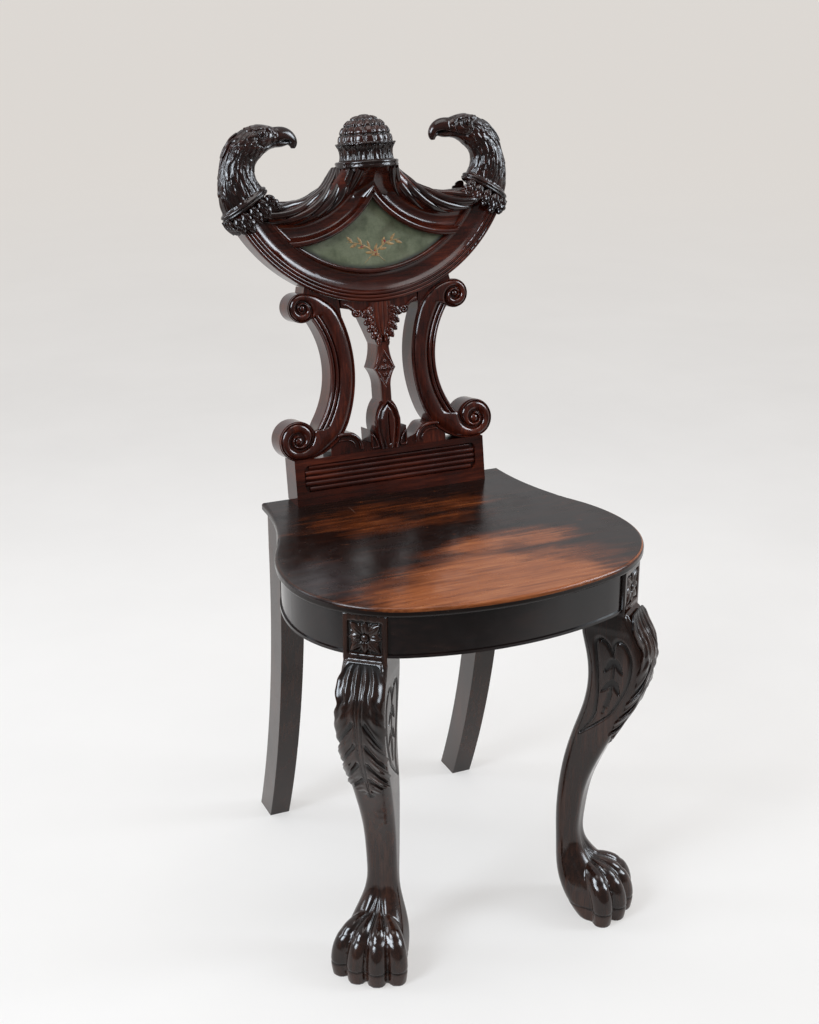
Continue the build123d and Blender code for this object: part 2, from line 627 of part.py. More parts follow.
# Rear legs: square sabre legs that taper on their outer side
with BuildPart() as rear_leg_right:
    with BuildSketch(Plane(origin=(REAR_LEG_INNER, 0, 0), x_dir=(0, 1, 0), z_dir=(1, 0, 0))):
        with BuildLine():
            top_front = (REAR_LEG_FRONT, SEAT_UNDERSIDE)
            top_back = (REAR_LEG_BACK, SEAT_UNDERSIDE)
            heel = REAR_LEG_BACK + REAR_LEG_SWEEP
            front_line = Line(top_front, (REAR_LEG_FRONT, RAIL_BOTTOM))
            front_sweep = TangentArc(front_line @ 1, (heel - REAR_LEG_DEPTH, 0), tangent=front_line % 1)
            back_line = Line(top_back, (REAR_LEG_BACK, RAIL_BOTTOM))
            back_sweep = TangentArc(back_line @ 1, (heel, 0), tangent=back_line % 1)
            Line(front_sweep @ 1, back_sweep @ 1)
            Line(top_front, top_back)
        make_face()
    extrude(amount=REAR_LEG_OUTER - REAR_LEG_INNER)
    taper = Vector(REAR_LEG_OUTER - REAR_LEG_INNER - REAR_FOOT_WIDTH, 0, RAIL_BOTTOM)
    taper_top = (REAR_LEG_OUTER, 0, RAIL_BOTTOM)
    taper_side = Plane(origin=taper_top, x_dir=(0, 1, 0), z_dir=(taper.Z, 0, -taper.X))
    split(bisect_by=taper_side, keep=Keep.BOTTOM)
    mortise_hole(side_tenon)
    mortise_hole(rear_tenon)
    screw_holes([rear_screw_plane], rear_screw_length)
save(rear_leg_right, "rear_leg_right")

with BuildPart() as rear_leg_left:
    add(mirrored(rear_leg_right.part))
save(rear_leg_left, "rear_leg_left")

# Corner blocks inside the seat frame
with BuildPart() as corner_block_front_right:
    extrude(block_room, amount=-CORNER_BLOCK_HEIGHT)
    with BuildSketch(leg_plane(SEAT_UNDERSIDE, -CORNER_BLOCK_REACH)):
        Rectangle(CORNER_BLOCK_REACH, CORNER_BLOCK_WIDTH, align=(Align.MIN, Align.CENTER))
    extrude(amount=-CORNER_BLOCK_HEIGHT, mode=Mode.INTERSECT)
    with BuildSketch(leg_plane(SEAT_UNDERSIDE)):
        Rectangle(LEG_BLOCK, LEG_BLOCK, align=(Align.MAX, Align.CENTER))
    extrude(amount=-CORNER_BLOCK_HEIGHT, mode=Mode.SUBTRACT)
    screw_holes(front_screw_planes, front_screw_length)
    screw_holes(seat_screw_planes, seat_screw_length)
save(corner_block_front_right, "corner_block_front_right")

with BuildPart() as corner_block_front_left:
    add(mirrored(corner_block_front_right.part))
save(corner_block_front_left, "corner_block_front_left")

with BuildPart() as corner_block_rear_right:
    extrude(block_room, amount=-CORNER_BLOCK_HEIGHT)
    with BuildSketch(Plane.XY.offset(SEAT_UNDERSIDE)):
        Polygon(
            (rear_block_inner.X, rear_block_inner.Y),
            (rear_block_outer.X, rear_block_outer.Y),
            (rear_block_outer.X, rear_block_inner.Y),
            align=None,
        )
    extrude(amount=-CORNER_BLOCK_HEIGHT, mode=Mode.INTERSECT)
    with BuildSketch(Plane.XY.offset(SEAT_UNDERSIDE)):
        with Locations((REAR_LEG_INNER, REAR_LEG_FRONT)):
            Rectangle(FAR, FAR, align=(Align.MIN, Align.MIN))
    extrude(amount=-CORNER_BLOCK_HEIGHT, mode=Mode.SUBTRACT)
    screw_holes([rear_screw_plane], rear_screw_length)
    screw_holes(seat_screw_planes, seat_screw_length)
save(corner_block_rear_right, "corner_block_rear_right")

with BuildPart() as corner_block_rear_left:
    add(mirrored(corner_block_rear_right.part))
save(corner_block_rear_left, "corner_block_rear_left")

with BuildPart() as corner_block_screws:
    screws(front_screw_planes, front_screw_length)
    screws([rear_screw_plane], rear_screw_length)
    mirror(about=Plane.YZ)
save(corner_block_screws, "corner_block_screws")

with BuildPart() as seat_screws:
    screws(seat_screw_planes, seat_screw_length)
    mirror(about=Plane.YZ)
save(seat_screws, "seat_screws")

# Dowels from the rear rail through the seat into the plinth
with BuildPart() as back_dowels:
    with BuildSketch(back_dowel_foot):
        with Locations(*back_dowel_places):
            Circle(BACK_DOWEL_RADIUS)
    extrude(amount=back_dowel_length)
save(back_dowels, "back_dowels")

# Plinth of the back with its reeded panel
panel_width = PLINTH_WIDTH - 2 * PANEL_MARGIN
panel_height = PLINTH_HEIGHT - PANEL_BOTTOM - PANEL_TOP_MARGIN
reed_pitch = panel_height / REED_COUNT
reed_radius = reed_pitch / 2 - REED_GROOVE / 2
with BuildPart() as plinth_rail:
    with BuildSketch(BACK):
        Rectangle(PLINTH_WIDTH, PLINTH_HEIGHT, align=(Align.CENTER, Align.MIN))
    extrude(amount=-BACK_THICKNESS)
    split(bisect_by=Plane.XY.offset(SEAT_HEIGHT), keep=Keep.TOP)
    with BuildSketch(back_plane(0, PANEL_BOTTOM + panel_height / 2)):
        RectangleRounded(panel_width, panel_height, reed_pitch)
    extrude(amount=-PANEL_DEPTH, mode=Mode.SUBTRACT)
    for reed in range(REED_COUNT):
        reed_rise = PANEL_BOTTOM + (reed + 0.5) * reed_pitch
        end_reed = reed in (0, REED_COUNT - 1)
        reed_length = panel_width - (2 * reed_pitch if end_reed else reed_pitch / 2)
        with BuildSketch(across_back(-reed_length / 2, reed_rise, -PANEL_DEPTH, 0)):
            Circle(reed_radius)
        extrude(amount=reed_length)
    with Locations(*[(x, y, SEAT_HEIGHT) for x, y in back_dowel_places]):
        Cylinder(
            BACK_DOWEL_RADIUS + DOWEL_ROOM,
            BACK_DOWEL_IN_PLINTH + DOWEL_ROOM,
            align=FROM_FOOT,
            mode=Mode.SUBTRACT,
        )
    lower_dowel_left = across_back(-LOWER_DOWEL_X, PLINTH_HEIGHT, MID_DEPTH, 90)
    dowel_holes([lower_dowel_plane, lower_dowel_left], SCROLL_DOWEL_RADIUS, SCROLL_DOWEL_HALF)
    with BuildSketch(across_back(0, PLINTH_HEIGHT, MID_DEPTH, 90)):
        Rectangle(SPLAT_TENON_THICKNESS + 2 * MORTISE_ROOM, SPLAT_TENON_WIDTH + 2 * MORTISE_ROOM)
    extrude(amount=-SPLAT_TENON_LENGTH - MORTISE_ROOM, mode=Mode.SUBTRACT)
save(plinth_rail, "plinth_rail")

# Scroll uprights, scribed to the rim of the crest and seated on the plinth
lower_volute_rise = PLINTH_HEIGHT + LOWER_VOLUTE_RADIUS - LOWER_VOLUTE_SINK
lower_volute = (LOWER_VOLUTE_X, lower_volute_rise)
upper_volute = (UPPER_VOLUTE_X, UPPER_VOLUTE_RISE)
convex_centre = (UPRIGHT_INNER + UPRIGHT_CONVEX_RADIUS, UPRIGHT_MIDDLE)
concave_centre = (UPRIGHT_OUTER + UPRIGHT_CONCAVE_RADIUS, UPRIGHT_MIDDLE)
crest_centre = (0, CREST_RISE)


def spiral_edge(centre, radius, start, direction, width):
    """Points of one edge of a volute's groove, which winds in from the rim to the eye."""
    points = []
    for step in range(SPIRAL_STEPS + 1):
        share = step / SPIRAL_STEPS
        angle = radians(start) + direction * 2 * pi * SPIRAL_TURNS * share
        reach = radius * (1 - (1 - SPIRAL_EYE) * share) + width
        points.append((centre[0] + reach * cos(angle), centre[1] + reach * sin(angle)))
    return points


def spiral_groove(centre, radius, start, direction):
    """Flat spiral ribbon that cuts a volute's coil."""
    half = SPIRAL_GROOVE * radius / 2
    outer = spiral_edge(centre, radius, start, direction, half)
    inner = spiral_edge(centre, radius, start, direction, -half)
    with BuildSketch(BACK) as groove:
        with BuildLine():
            outer_edge = Spline(*outer)
            inner_edge = Spline(*inner)
            Line(outer_edge @ 0, inner_edge @ 0)
            Line(outer_edge @ 1, inner_edge @ 1)
        make_face()
    return groove.sketch


lower_groove = spiral_groove(lower_volute, LOWER_VOLUTE_RADIUS, LOWER_SPIRAL_START, 1)
upper_groove = spiral_groove(upper_volute, UPPER_VOLUTE_RADIUS, UPPER_SPIRAL_START, -1)
with BuildPart() as scroll_upright_right:
    with BuildSketch(BACK):
        with BuildLine():
            convex = CenterArc(convex_centre, UPRIGHT_CONVEX_RADIUS, 180 - CONVEX_SPAN / 2, CONVEX_SPAN)
            concave = CenterArc(concave_centre, UPRIGHT_CONCAVE_RADIUS, 180 - CONCAVE_SPAN / 2, CONCAVE_SPAN)
            foot_end = (LOWER_VOLUTE_X - FOOT_ARC_SHIFT, lower_volute_rise - LOWER_VOLUTE_RADIUS)
            head_end = (UPPER_VOLUTE_X, UPPER_VOLUTE_RISE + UPPER_VOLUTE_RADIUS)
            foot_arc = TangentArc(convex @ 1, foot_end, tangent=convex % 1)
            head_arc = TangentArc(convex @ 0, head_end, tangent=(convex % 0) * -1)
            Line(head_arc @ 1, concave @ 0)
            Line(foot_arc @ 1, concave @ 1)
        make_face()
        with Locations(lower_volute):
            Circle(LOWER_VOLUTE_RADIUS)
        with Locations(upper_volute):
            Circle(UPPER_VOLUTE_RADIUS)
        neck_top = upper_dowel_rise + UPPER_VOLUTE_RADIUS
        Polygon(
            ((convex @ 0).X, (convex @ 0).Y),
            (UPPER_DOWEL_X - UPRIGHT_NECK_IN, neck_top),
            (UPPER_DOWEL_X + UPRIGHT_NECK_OUT, neck_top),
            upper_volute,
            align=None,
        )
        with Locations(crest_centre):
            Circle(CREST_RADIUS + CURVE_GAP, mode=Mode.SUBTRACT)
        with Locations((0, PLINTH_HEIGHT)):
            Rectangle(FAR, FAR, align=(Align.CENTER, Align.MAX), mode=Mode.SUBTRACT)
    extrude(amount=-BACK_THICKNESS)
    extrude(lower_groove, amount=-SPIRAL_DEPTH, mode=Mode.SUBTRACT)
    extrude(upper_groove, amount=-SPIRAL_DEPTH, mode=Mode.SUBTRACT)
    for inset in UPRIGHT_GROOVE_INSETS:
        with BuildSketch(BACK):
            with Locations(concave_centre):
                Circle(UPRIGHT_CONCAVE_RADIUS + inset + UPRIGHT_GROOVE)
                Circle(UPRIGHT_CONCAVE_RADIUS + inset, mode=Mode.SUBTRACT)
            with Locations((0, UPRIGHT_MIDDLE)):
                Rectangle(
                    LOWER_VOLUTE_X - LOWER_VOLUTE_RADIUS,
                    UPRIGHT_GROOVE_LENGTH,
                    align=(Align.MIN, Align.CENTER),
                    mode=Mode.INTERSECT,
                )
        extrude(amount=-UPRIGHT_GROOVE_DEPTH, mode=Mode.SUBTRACT)
    dowel_holes([lower_dowel_plane, upper_dowel_plane], SCROLL_DOWEL_RADIUS, SCROLL_DOWEL_HALF)
save(scroll_upright_right, "scroll_upright_right")

with BuildPart() as scroll_upright_left:
    add(mirrored(scroll_upright_right.part))
save(scroll_upright_left, "scroll_upright_left")

with BuildPart() as scroll_dowels:
    with Locations(lower_dowel_plane.location, upper_dowel_plane.location):
        Cylinder(SCROLL_DOWEL_RADIUS, 2 * SCROLL_DOWEL_HALF)
    mirror(about=Plane.YZ)
save(scroll_dowels, "scroll_dowels")

# Splat: husk under the rim, lozenge, stem and lotus bud on low scroll brackets
rim_foot = CREST_RISE - CREST_RADIUS
wing_end = (convex @ 0).X - CURVE_GAP
bracket_top = PLINTH_HEIGHT + BRACKET_HEIGHT
with BuildPart() as splat:
    with BuildSketch(BACK):
        with BuildLine():
            top = Line((0, neck_top), (wing_end, neck_top))
            wing = Line(top @ 1, (wing_end, rim_foot - WING_DROP))
            shoulder = (HUSK_WIDTH / 2, rim_foot - HUSK_SHOULDER)
            hollow = TangentArc(wing @ 1, shoulder, tangent=(-1, -WING_SLOPE))
            husk = Spline(
                hollow @ 1,
                (HUSK_MIDDLE[0], rim_foot - HUSK_MIDDLE[1]),
                (NECK_WIDTH / 2, rim_foot - HUSK_DROP - NECK_WIDTH / 2),
            )
            lozenge = (LOZENGE_WIDTH / 2, LOZENGE_RISE)
            stem = (STEM_WIDTH / 2, STEM_RISE)
            upper_side = TangentArc(husk @ 1, lozenge, tangent=(0, -1))
            lower_side = TangentArc(stem, lozenge, tangent=(0, 1))
            stalk = Line(stem, (STEM_WIDTH / 2, LOTUS_TIP))
            bud = Spline(
                stalk @ 1,
                (LOTUS_WIDTH / 2, LOTUS_RISE),
                (LOTUS_FOOT_WIDTH / 2, PLINTH_HEIGHT),
                tangents=((1, -1), (-LOTUS_FOOT_SLOPE, -1)),
            )
            Line(bud @ 1, (0, PLINTH_HEIGHT))
            Line((0, PLINTH_HEIGHT), (0, neck_top))
        make_face()
        with BuildLine():
            base = Line((BLADE_FOOT, PLINTH_HEIGHT), (BRACKET_REACH, PLINTH_HEIGHT))
            outer = Line(base @ 1, (BRACKET_REACH, bracket_top))
            shelf = Line(outer @ 1, (wing_end, bracket_top))
            slope = Spline(
                shelf @ 1,
                (BRACKET_HOLLOW[0], PLINTH_HEIGHT + BRACKET_HOLLOW[1]),
                (BLADE_REACH, PLINTH_HEIGHT + BLADE_CROTCH),
                tangents=((-1, -BRACKET_SLOPE), (-LOTUS_FOOT_SLOPE, -1)),
            )
            blade = Line(slope @ 1, (BLADE_REACH, bracket_top))
            Line(blade @ 1, base @ 0)
        make_face()
        with Locations(foot_arc.arc_center):
            Circle(foot_arc.radius + CURVE_GAP, mode=Mode.SUBTRACT)
        mirror(about=Plane.YZ)
        with Locations(crest_centre):
            Circle(CREST_RADIUS + CURVE_GAP, mode=Mode.SUBTRACT)
    extrude(amount=-BACK_THICKNESS)
    with BuildSketch(across_back(0, PLINTH_HEIGHT, MID_DEPTH, 90)):
        Rectangle(SPLAT_TENON_THICKNESS, SPLAT_TENON_WIDTH)
    extrude(amount=-SPLAT_TENON_LENGTH)
    with BuildSketch(across_back(0, rim_foot - SPLAT_TENON_LENGTH, MID_DEPTH, 90)):
        Rectangle(SPLAT_TENON_THICKNESS, SPLAT_TENON_WIDTH)
    extrude(amount=2 * SPLAT_TENON_LENGTH)
save(splat, "splat")

# Crest board: a crescent of turned mouldings under two swags
collar_run = collar_line.normalized()
collar_far = Vector(*COLLAR_OUTER) + collar_run * CREST_RADIUS
collar_near = Vector(*COLLAR_INNER) - collar_run * COLLAR_OVERRUN
field_floor = -FIELD_DEPTH - MOULDING_ROOT
swag_centre = (SWAG_X, SWAG_RISE)


def crest_outline(radius, level):
    """Outline of the crest between the eagle collars, under the swags and the finial."""
    half = (
        (0, CREST_RISE - 2 * radius),
        (collar_far.X, CREST_RISE - 2 * radius),
        (collar_far.X, collar_far.Y),
        (collar_near.X, collar_near.Y),
        (SWAG_X, CREST_TOP),
        (0, CREST_TOP),
    )
    with BuildSketch(BACK.offset(level)) as outline:
        Polygon(*half, align=None)
        with Locations(swag_centre):
            Circle(SWAG_TOP_RADIUS, mode=Mode.SUBTRACT)
        mirror(about=Plane.YZ)
        with Locations(crest_centre):
            Circle(radius, mode=Mode.INTERSECT)
    return outline.sketch


def tablet_outline(room):
    """Outline of the painted tablet, less a margin all round."""
    with BuildSketch(BACK.offset(-FIELD_DEPTH)) as outline:
        with Locations(crest_centre):
            Circle(TABLET_RADIUS - room)
        with Locations((0, CREST_TOP)):
            Rectangle(FAR, FAR, align=(Align.CENTER, Align.MAX), mode=Mode.INTERSECT)
        with Locations(swag_centre, (-SWAG_X, SWAG_RISE)):
            Circle(TABLET_ARC_RADIUS + room, mode=Mode.SUBTRACT)
    return outline.sketch


board_outline = crest_outline(CREST_RADIUS - RIM_LIP, -FIELD_DEPTH)
moulding_outline = crest_outline(CREST_RADIUS + RIM_LIP, field_floor)
tablet_room = tablet_outline(0.0)
tablet_face = tablet_outline(TABLET_ROOM)
reed_width = REED_BAND / RIM_REEDS
reed_inner = CREST_RADIUS - REED_BAND

with BuildPart() as rim_moulding:
    with BuildSketch(turning_plane(*crest_centre)):
        with BuildLine():
            inner = Line((TABLET_RADIUS, field_floor), (TABLET_RADIUS, -BEAD_FOOT))
            bead_middle = ((TABLET_RADIUS + COVE_INNER) / 2, BEAD_RISE - BEAD_FOOT)
            bead = ThreePointArc(inner @ 1, bead_middle, (COVE_INNER, -BEAD_FOOT))
            cove_middle = ((COVE_INNER + reed_inner) / 2, -COVE_DEPTH)
            edge = ThreePointArc(bead @ 1, cove_middle, (reed_inner, -REED_FOOT))
            for reed in range(RIM_REEDS):
                start = reed_inner + reed * reed_width
                crown = (start + reed_width / 2, reed_width / 2 - REED_FOOT)
                edge = ThreePointArc(edge @ 1, crown, (start + reed_width, -REED_FOOT))
            outer = Line(edge @ 1, (CREST_RADIUS, field_floor))
            Line(outer @ 1, inner @ 0)
        make_face()
    revolve(axis=Axis(turning_plane(*crest_centre).origin, BACK.z_dir))
    extrude(moulding_outline, amount=BACK_THICKNESS, mode=Mode.INTERSECT)

with BuildPart() as swag_moulding:
    with BuildSketch(turning_plane(*swag_centre)):
        with BuildLine():
            inner = Line((SWAG_TOP_RADIUS, field_floor), (SWAG_TOP_RADIUS, -SWAG_EDGE))
            swag_middle = ((SWAG_TOP_RADIUS + SWAG_BOTTOM_RADIUS) / 2, SWAG_BULGE - FIELD_DEPTH)
            swag = ThreePointArc(inner @ 1, swag_middle, (SWAG_BOTTOM_RADIUS, -SWAG_EDGE))
            hollow_middle = ((SWAG_BOTTOM_RADIUS + BAND_RADIUS) / 2, -COVE_DEPTH)
            hollow = ThreePointArc(swag @ 1, hollow_middle, (BAND_RADIUS, -REED_FOOT))
            lip_middle = ((BAND_RADIUS + TABLET_ARC_RADIUS) / 2, BEAD_RISE - REED_FOOT)
            lip = ThreePointArc(hollow @ 1, lip_middle, (TABLET_ARC_RADIUS, -BEAD_FOOT))
            outer = Line(lip @ 1, (TABLET_ARC_RADIUS, field_floor))
            Line(outer @ 1, inner @ 0)
        make_face()
    revolve(axis=Axis(turning_plane(*swag_centre).origin, BACK.z_dir))
    extrude(moulding_outline, amount=BACK_THICKNESS, mode=Mode.INTERSECT)
    with BuildSketch(BACK.offset(field_floor)):
        with Locations(crest_centre):
            Circle(COVE_INNER)
        with Locations((0, CREST_RISE)):
            Rectangle(FAR, FAR, align=(Align.MIN, Align.CENTER), mode=Mode.INTERSECT)
    extrude(amount=BACK_THICKNESS, mode=Mode.INTERSECT)

with BuildPart() as crest_board:
    extrude(board_outline, amount=FIELD_DEPTH - BACK_THICKNESS)
    extrude(tablet_room, amount=-TABLET_THICKNESS - TABLET_ROOM, mode=Mode.SUBTRACT)
    add(rim_moulding.part)
    add(swag_moulding.part)
    add(mirrored(swag_moulding.part))
    with BuildSketch(back_plane(0, 0, -FINIAL_AXIS_DEPTH)):
        Polygon(
            (0, CREST_TOP - NECK_LENGTH),
            (NECK_FOOT_RADIUS, CREST_TOP - NECK_LENGTH),
            (NECK_RADIUS, CREST_TOP),
            (0, CREST_TOP),
            align=None,
        )
    revolve(axis=finial_axis)
    upper_dowel_left = across_back(-UPPER_DOWEL_X, upper_dowel_rise, MID_DEPTH, 90)
    dowel_holes([upper_dowel_plane, upper_dowel_left], SCROLL_DOWEL_RADIUS, SCROLL_DOWEL_HALF)
    dowel_holes([finial_dowel_plane], FINIAL_DOWEL_RADIUS, FINIAL_DOWEL_HALF)
    collar_plane_left = across_back(-collar_centre.X, collar_centre.Y, MID_DEPTH, 180 - collar_turn)
    dowel_holes([collar_plane, collar_plane_left], EAGLE_DOWEL_RADIUS, EAGLE_DOWEL_HALF)
    with BuildSketch(across_back(0, rim_foot, MID_DEPTH, 90)):
        Rectangle(SPLAT_TENON_THICKNESS + 2 * MORTISE_ROOM, SPLAT_TENON_WIDTH + 2 * MORTISE_ROOM)
    extrude(amount=SPLAT_TENON_LENGTH + MORTISE_ROOM, mode=Mode.SUBTRACT)
save(crest_board, "crest_board")

# Painted tablet let into the crest
with BuildPart() as painted_tablet:
    extrude(tablet_face, amount=-TABLET_THICKNESS)
save(painted_tablet, "painted_tablet")

# Finial: double ring, leaf collar and ribbed dome, turned in one piece
dome_plane = Plane(
    origin=BACK.from_local_coords((0, CREST_TOP + RING_HEIGHT + COLLAR_HEIGHT, -FINIAL_AXIS_DEPTH)),
    x_dir=BACK.x_dir,
    z_dir=BACK.y_dir,
)
groove_hinge = Axis(dome_plane.origin, -dome_plane.y_dir)
with BuildPart() as dome_groove:
    with BuildSketch(dome_plane.rotated((0, -DOME_GROOVE_START, 0))):
        with Locations((DOME_RADIUS, 0)):
            Rectangle(DOME_GROOVE, DOME_GROOVE, rotation=45)
    revolve(axis=groove_hinge, revolution_arc=DOME_GROOVE_ARC)
dome_grooves = [dome_groove.part.rotate(finial_axis, turn * 360 / DOME_RIBS) for turn in range(DOME_RIBS)]

with BuildPart() as finial:
    with BuildSketch(back_plane(0, 0, -FINIAL_AXIS_DEPTH)):
        with BuildLine():
            foot = Line((0, CREST_TOP), (RING_RADIUS - RING_HEIGHT / 4, CREST_TOP))
            ring_end = foot @ 1
            for ring in range(2):
                ring_foot = CREST_TOP + ring * RING_HEIGHT / 2
                ring_crown = (RING_RADIUS, ring_foot + RING_HEIGHT / 4)
                ring_top = (RING_RADIUS - RING_HEIGHT / 4, ring_foot + RING_HEIGHT / 2)
                ring_end = ThreePointArc(ring_end, ring_crown, ring_top) @ 1
            collar_foot = CREST_TOP + RING_HEIGHT
            collar_top = collar_foot + COLLAR_HEIGHT
            step = Line(ring_end, (COLLAR_RADIUS - COLLAR_WAIST, collar_foot))
            waist = (COLLAR_RADIUS - COLLAR_HOLLOW, collar_foot + COLLAR_HEIGHT / 2)
            collar = ThreePointArc(step @ 1, waist, (COLLAR_RADIUS, collar_top))
            shelf = Line(collar @ 1, (DOME_RADIUS, collar_top))
            dome = CenterArc((0, collar_top), DOME_RADIUS, 0, 90)
            Line(dome @ 1, foot @ 0)
        make_face()
    revolve(axis=finial_axis)
    add(dome_grooves, mode=Mode.SUBTRACT)
    dowel_holes([finial_dowel_plane], FINIAL_DOWEL_RADIUS, FINIAL_DOWEL_HALF)
save(finial, "finial")

# Eagle heads: collar, arched neck, head and hooked beak
with BuildPart() as beak:
    for x, rise, turn, half_width, half_depth in BEAK_STATIONS:
        with BuildSketch(across_back(x, rise, MID_DEPTH, turn)):
            Ellipse(half_depth, half_width)
    loft()

collar_half = collar_line.length / 2
with BuildPart() as eagle_head_right:
    with BuildSketch(collar_plane):
        Ellipse(BACK_THICKNESS / 2 + COLLAR_LIP, collar_half + COLLAR_LIP)
    extrude(amount=COLLAR_BAND)
    fillet(eagle_head_right.edges(), COLLAR_ROUND)
    for x, rise, turn, half_width, half_depth in EAGLE_STATIONS:
        with BuildSketch(across_back(x, rise, MID_DEPTH, turn)):
            Ellipse(half_depth, half_width)
    loft()
    add(beak.part)
    for side in (-1, 1):
        with Locations(BACK.from_local_coords((*EYE_PLACE, MID_DEPTH + side * EYE_OUT))):
            Sphere(EYE_RADIUS)
    dowel_holes([collar_plane], EAGLE_DOWEL_RADIUS, EAGLE_DOWEL_HALF)
save(eagle_head_right, "eagle_head_right")

with BuildPart() as eagle_head_left:
    add(mirrored(eagle_head_right.part))
save(eagle_head_left, "eagle_head_left")

with BuildPart() as crest_dowels:
    with Locations(finial_dowel_plane.location):
        Cylinder(FINIAL_DOWEL_RADIUS, 2 * FINIAL_DOWEL_HALF)
    with Locations(collar_plane.location, collar_plane_left.location):
        Cylinder(EAGLE_DOWEL_RADIUS, 2 * EAGLE_DOWEL_HALF)
save(crest_dowels, "crest_dowels")
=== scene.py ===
"""Looks of the hall chair: polish, wear and carving over the solids of the frame."""

from math import cos, pi, radians, sin

import bpy
import numpy as np
from mathutils import Matrix, Vector


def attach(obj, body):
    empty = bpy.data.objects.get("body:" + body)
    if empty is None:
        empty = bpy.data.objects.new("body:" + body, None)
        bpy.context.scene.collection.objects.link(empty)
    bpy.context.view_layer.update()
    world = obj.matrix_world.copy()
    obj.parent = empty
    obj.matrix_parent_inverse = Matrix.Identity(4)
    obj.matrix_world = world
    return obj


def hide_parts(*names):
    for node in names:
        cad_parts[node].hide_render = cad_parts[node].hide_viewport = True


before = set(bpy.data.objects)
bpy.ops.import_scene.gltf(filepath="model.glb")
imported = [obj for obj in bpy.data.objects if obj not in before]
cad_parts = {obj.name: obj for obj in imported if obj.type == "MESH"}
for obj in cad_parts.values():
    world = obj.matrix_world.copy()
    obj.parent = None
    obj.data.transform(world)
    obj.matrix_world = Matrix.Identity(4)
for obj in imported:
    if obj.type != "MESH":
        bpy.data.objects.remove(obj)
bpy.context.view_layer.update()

MM = 0.001
UP = np.array((0.0, 0.0, 1.0))

# Raked back: its front plane starts on the seat and leans away from the sitter
RAKE = radians(9.3)
BACK_START = np.array((0.0, 107.074, 440.0))
BACK_RIGHT = np.array((1.0, 0.0, 0.0))
BACK_UP = np.array((0.0, sin(RAKE), cos(RAKE)))
BACK_OUT = np.array((0.0, -cos(RAKE), sin(RAKE)))

# Crest: the arcs that bound the painted tablet, as places along and up the back
CREST_RISE = 402.5
TABLET_RADIUS = 143.0
SWAG_MIDDLE = (96.0, 410.0)
LIP_FOOT = 117.5

# Right front leg: its block's face, the way it points and the way across it
LEG_ANGLE = radians(39.5)
LEG_FACE = np.array((153.474, -172.345, 0.0))
LEG_OUT = np.array((sin(LEG_ANGLE), -cos(LEG_ANGLE), 0.0))
LEG_ACROSS = np.array((cos(LEG_ANGLE), sin(LEG_ANGLE), 0.0))

# Edges of the solids sharper than this stay sharp
SOLID_EDGE = 32


def walked(start, *legs):
    """Points reached from a start by lengths along given directions."""
    return start + sum(np.multiply.outer(length, way) for length, way in legs)


def on_back(x, rise, out):
    """Point in millimetres from its place along, up and out of the raked back."""
    return walked(BACK_START, (x, BACK_RIGHT), (rise, BACK_UP), (out, BACK_OUT))


def from_back(points):
    """Places along, up and out of the raked back for points in millimetres."""
    rel = points - BACK_START
    return rel @ BACK_RIGHT, rel @ BACK_UP, rel @ BACK_OUT


def on_leg(out, across, height):
    """Point in millimetres from its place on the right front leg."""
    return walked(LEG_FACE, (out, LEG_OUT), (across, LEG_ACROSS), (height, UP))


def from_leg(points):
    """Reach, place across and height on the right front leg for points in millimetres."""
    rel = points - LEG_FACE
    return rel @ LEG_OUT, rel @ LEG_ACROSS, rel[:, 2]


def step(low, high, value):
    """Smooth change from 0 to 1 between two values."""
    share = np.clip((value - low) / (high - low), 0.0, 1.0)
    return share * share * (3 - 2 * share)


def hump(value, middle, half):
    """Bell of height 1 around a middle value."""
    return np.exp(-(((value - middle) / half) ** 2))


def segment_distance(x, y, start, end):
    """Distance of places from a straight line between two others, and the share along it."""
    run = np.subtract(end, start)
    share = np.clip(((x - start[0]) * run[0] + (y - start[1]) * run[1]) / (run @ run), 0, 1)
    return np.hypot(x - start[0] - share * run[0], y - start[1] - share * run[1]), share


def path_distance(x, y, points):
    """Distance of places from a line through several points."""
    return np.min([segment_distance(x, y, a, b)[0] for a, b in zip(points, points[1:])], axis=0)


def only(piece):
    """Selects one piece and nothing else."""
    bpy.ops.object.select_all(action="DESELECT")
    piece.select_set(True)
    bpy.context.view_layer.objects.active = piece


def smooth_shaded(piece, angle):
    """Shades a piece smooth, except at edges sharper than an angle in degrees."""
    only(piece)
    bpy.ops.object.shade_smooth_by_angle(angle=radians(angle))


def read(piece, kind):
    """Places or normals of a piece's vertices, in metres."""
    flat = np.empty(len(piece.data.vertices) * 3, np.float32)
    piece.data.vertices.foreach_get(kind, flat)
    return flat.reshape(-1, 3).astype(float)


def places(piece):
    """A piece's vertices in millimetres."""
    return read(piece, "co") / MM


def outward(piece):
    """Directions out of a piece's surface at its vertices."""
    return read(piece, "normal")


def put(piece, points):
    """Moves a piece's vertices to places in millimetres."""
    piece.data.vertices.foreach_set("co", (points * MM).astype(np.float32).ravel())
    piece.data.update()


def tinted(piece, name, values):
    """Keeps a value for each vertex, which a finish reads by its name."""
    layer = piece.data.attributes.new(name, "FLOAT", "POINT")
    layer.data.foreach_set("value", np.clip(values, 0, 1).astype(np.float32))


def linked(name, mesh):
    """Piece that shows a mesh."""
    piece = bpy.data.objects.new(name, mesh)
    bpy.context.scene.collection.objects.link(piece)
    return piece


def merged(piece, turn_out):
    """Joins a piece's doubled vertices and, if asked, turns its faces outwards."""
    only(piece)
    bpy.ops.object.mode_set(mode="EDIT")
    bpy.ops.mesh.select_all(action="SELECT")
    bpy.ops.mesh.remove_doubles(threshold=1e-6)
    if turn_out:
        bpy.ops.mesh.normals_make_consistent(inside=False)
    bpy.ops.object.mode_set(mode="OBJECT")
    return piece


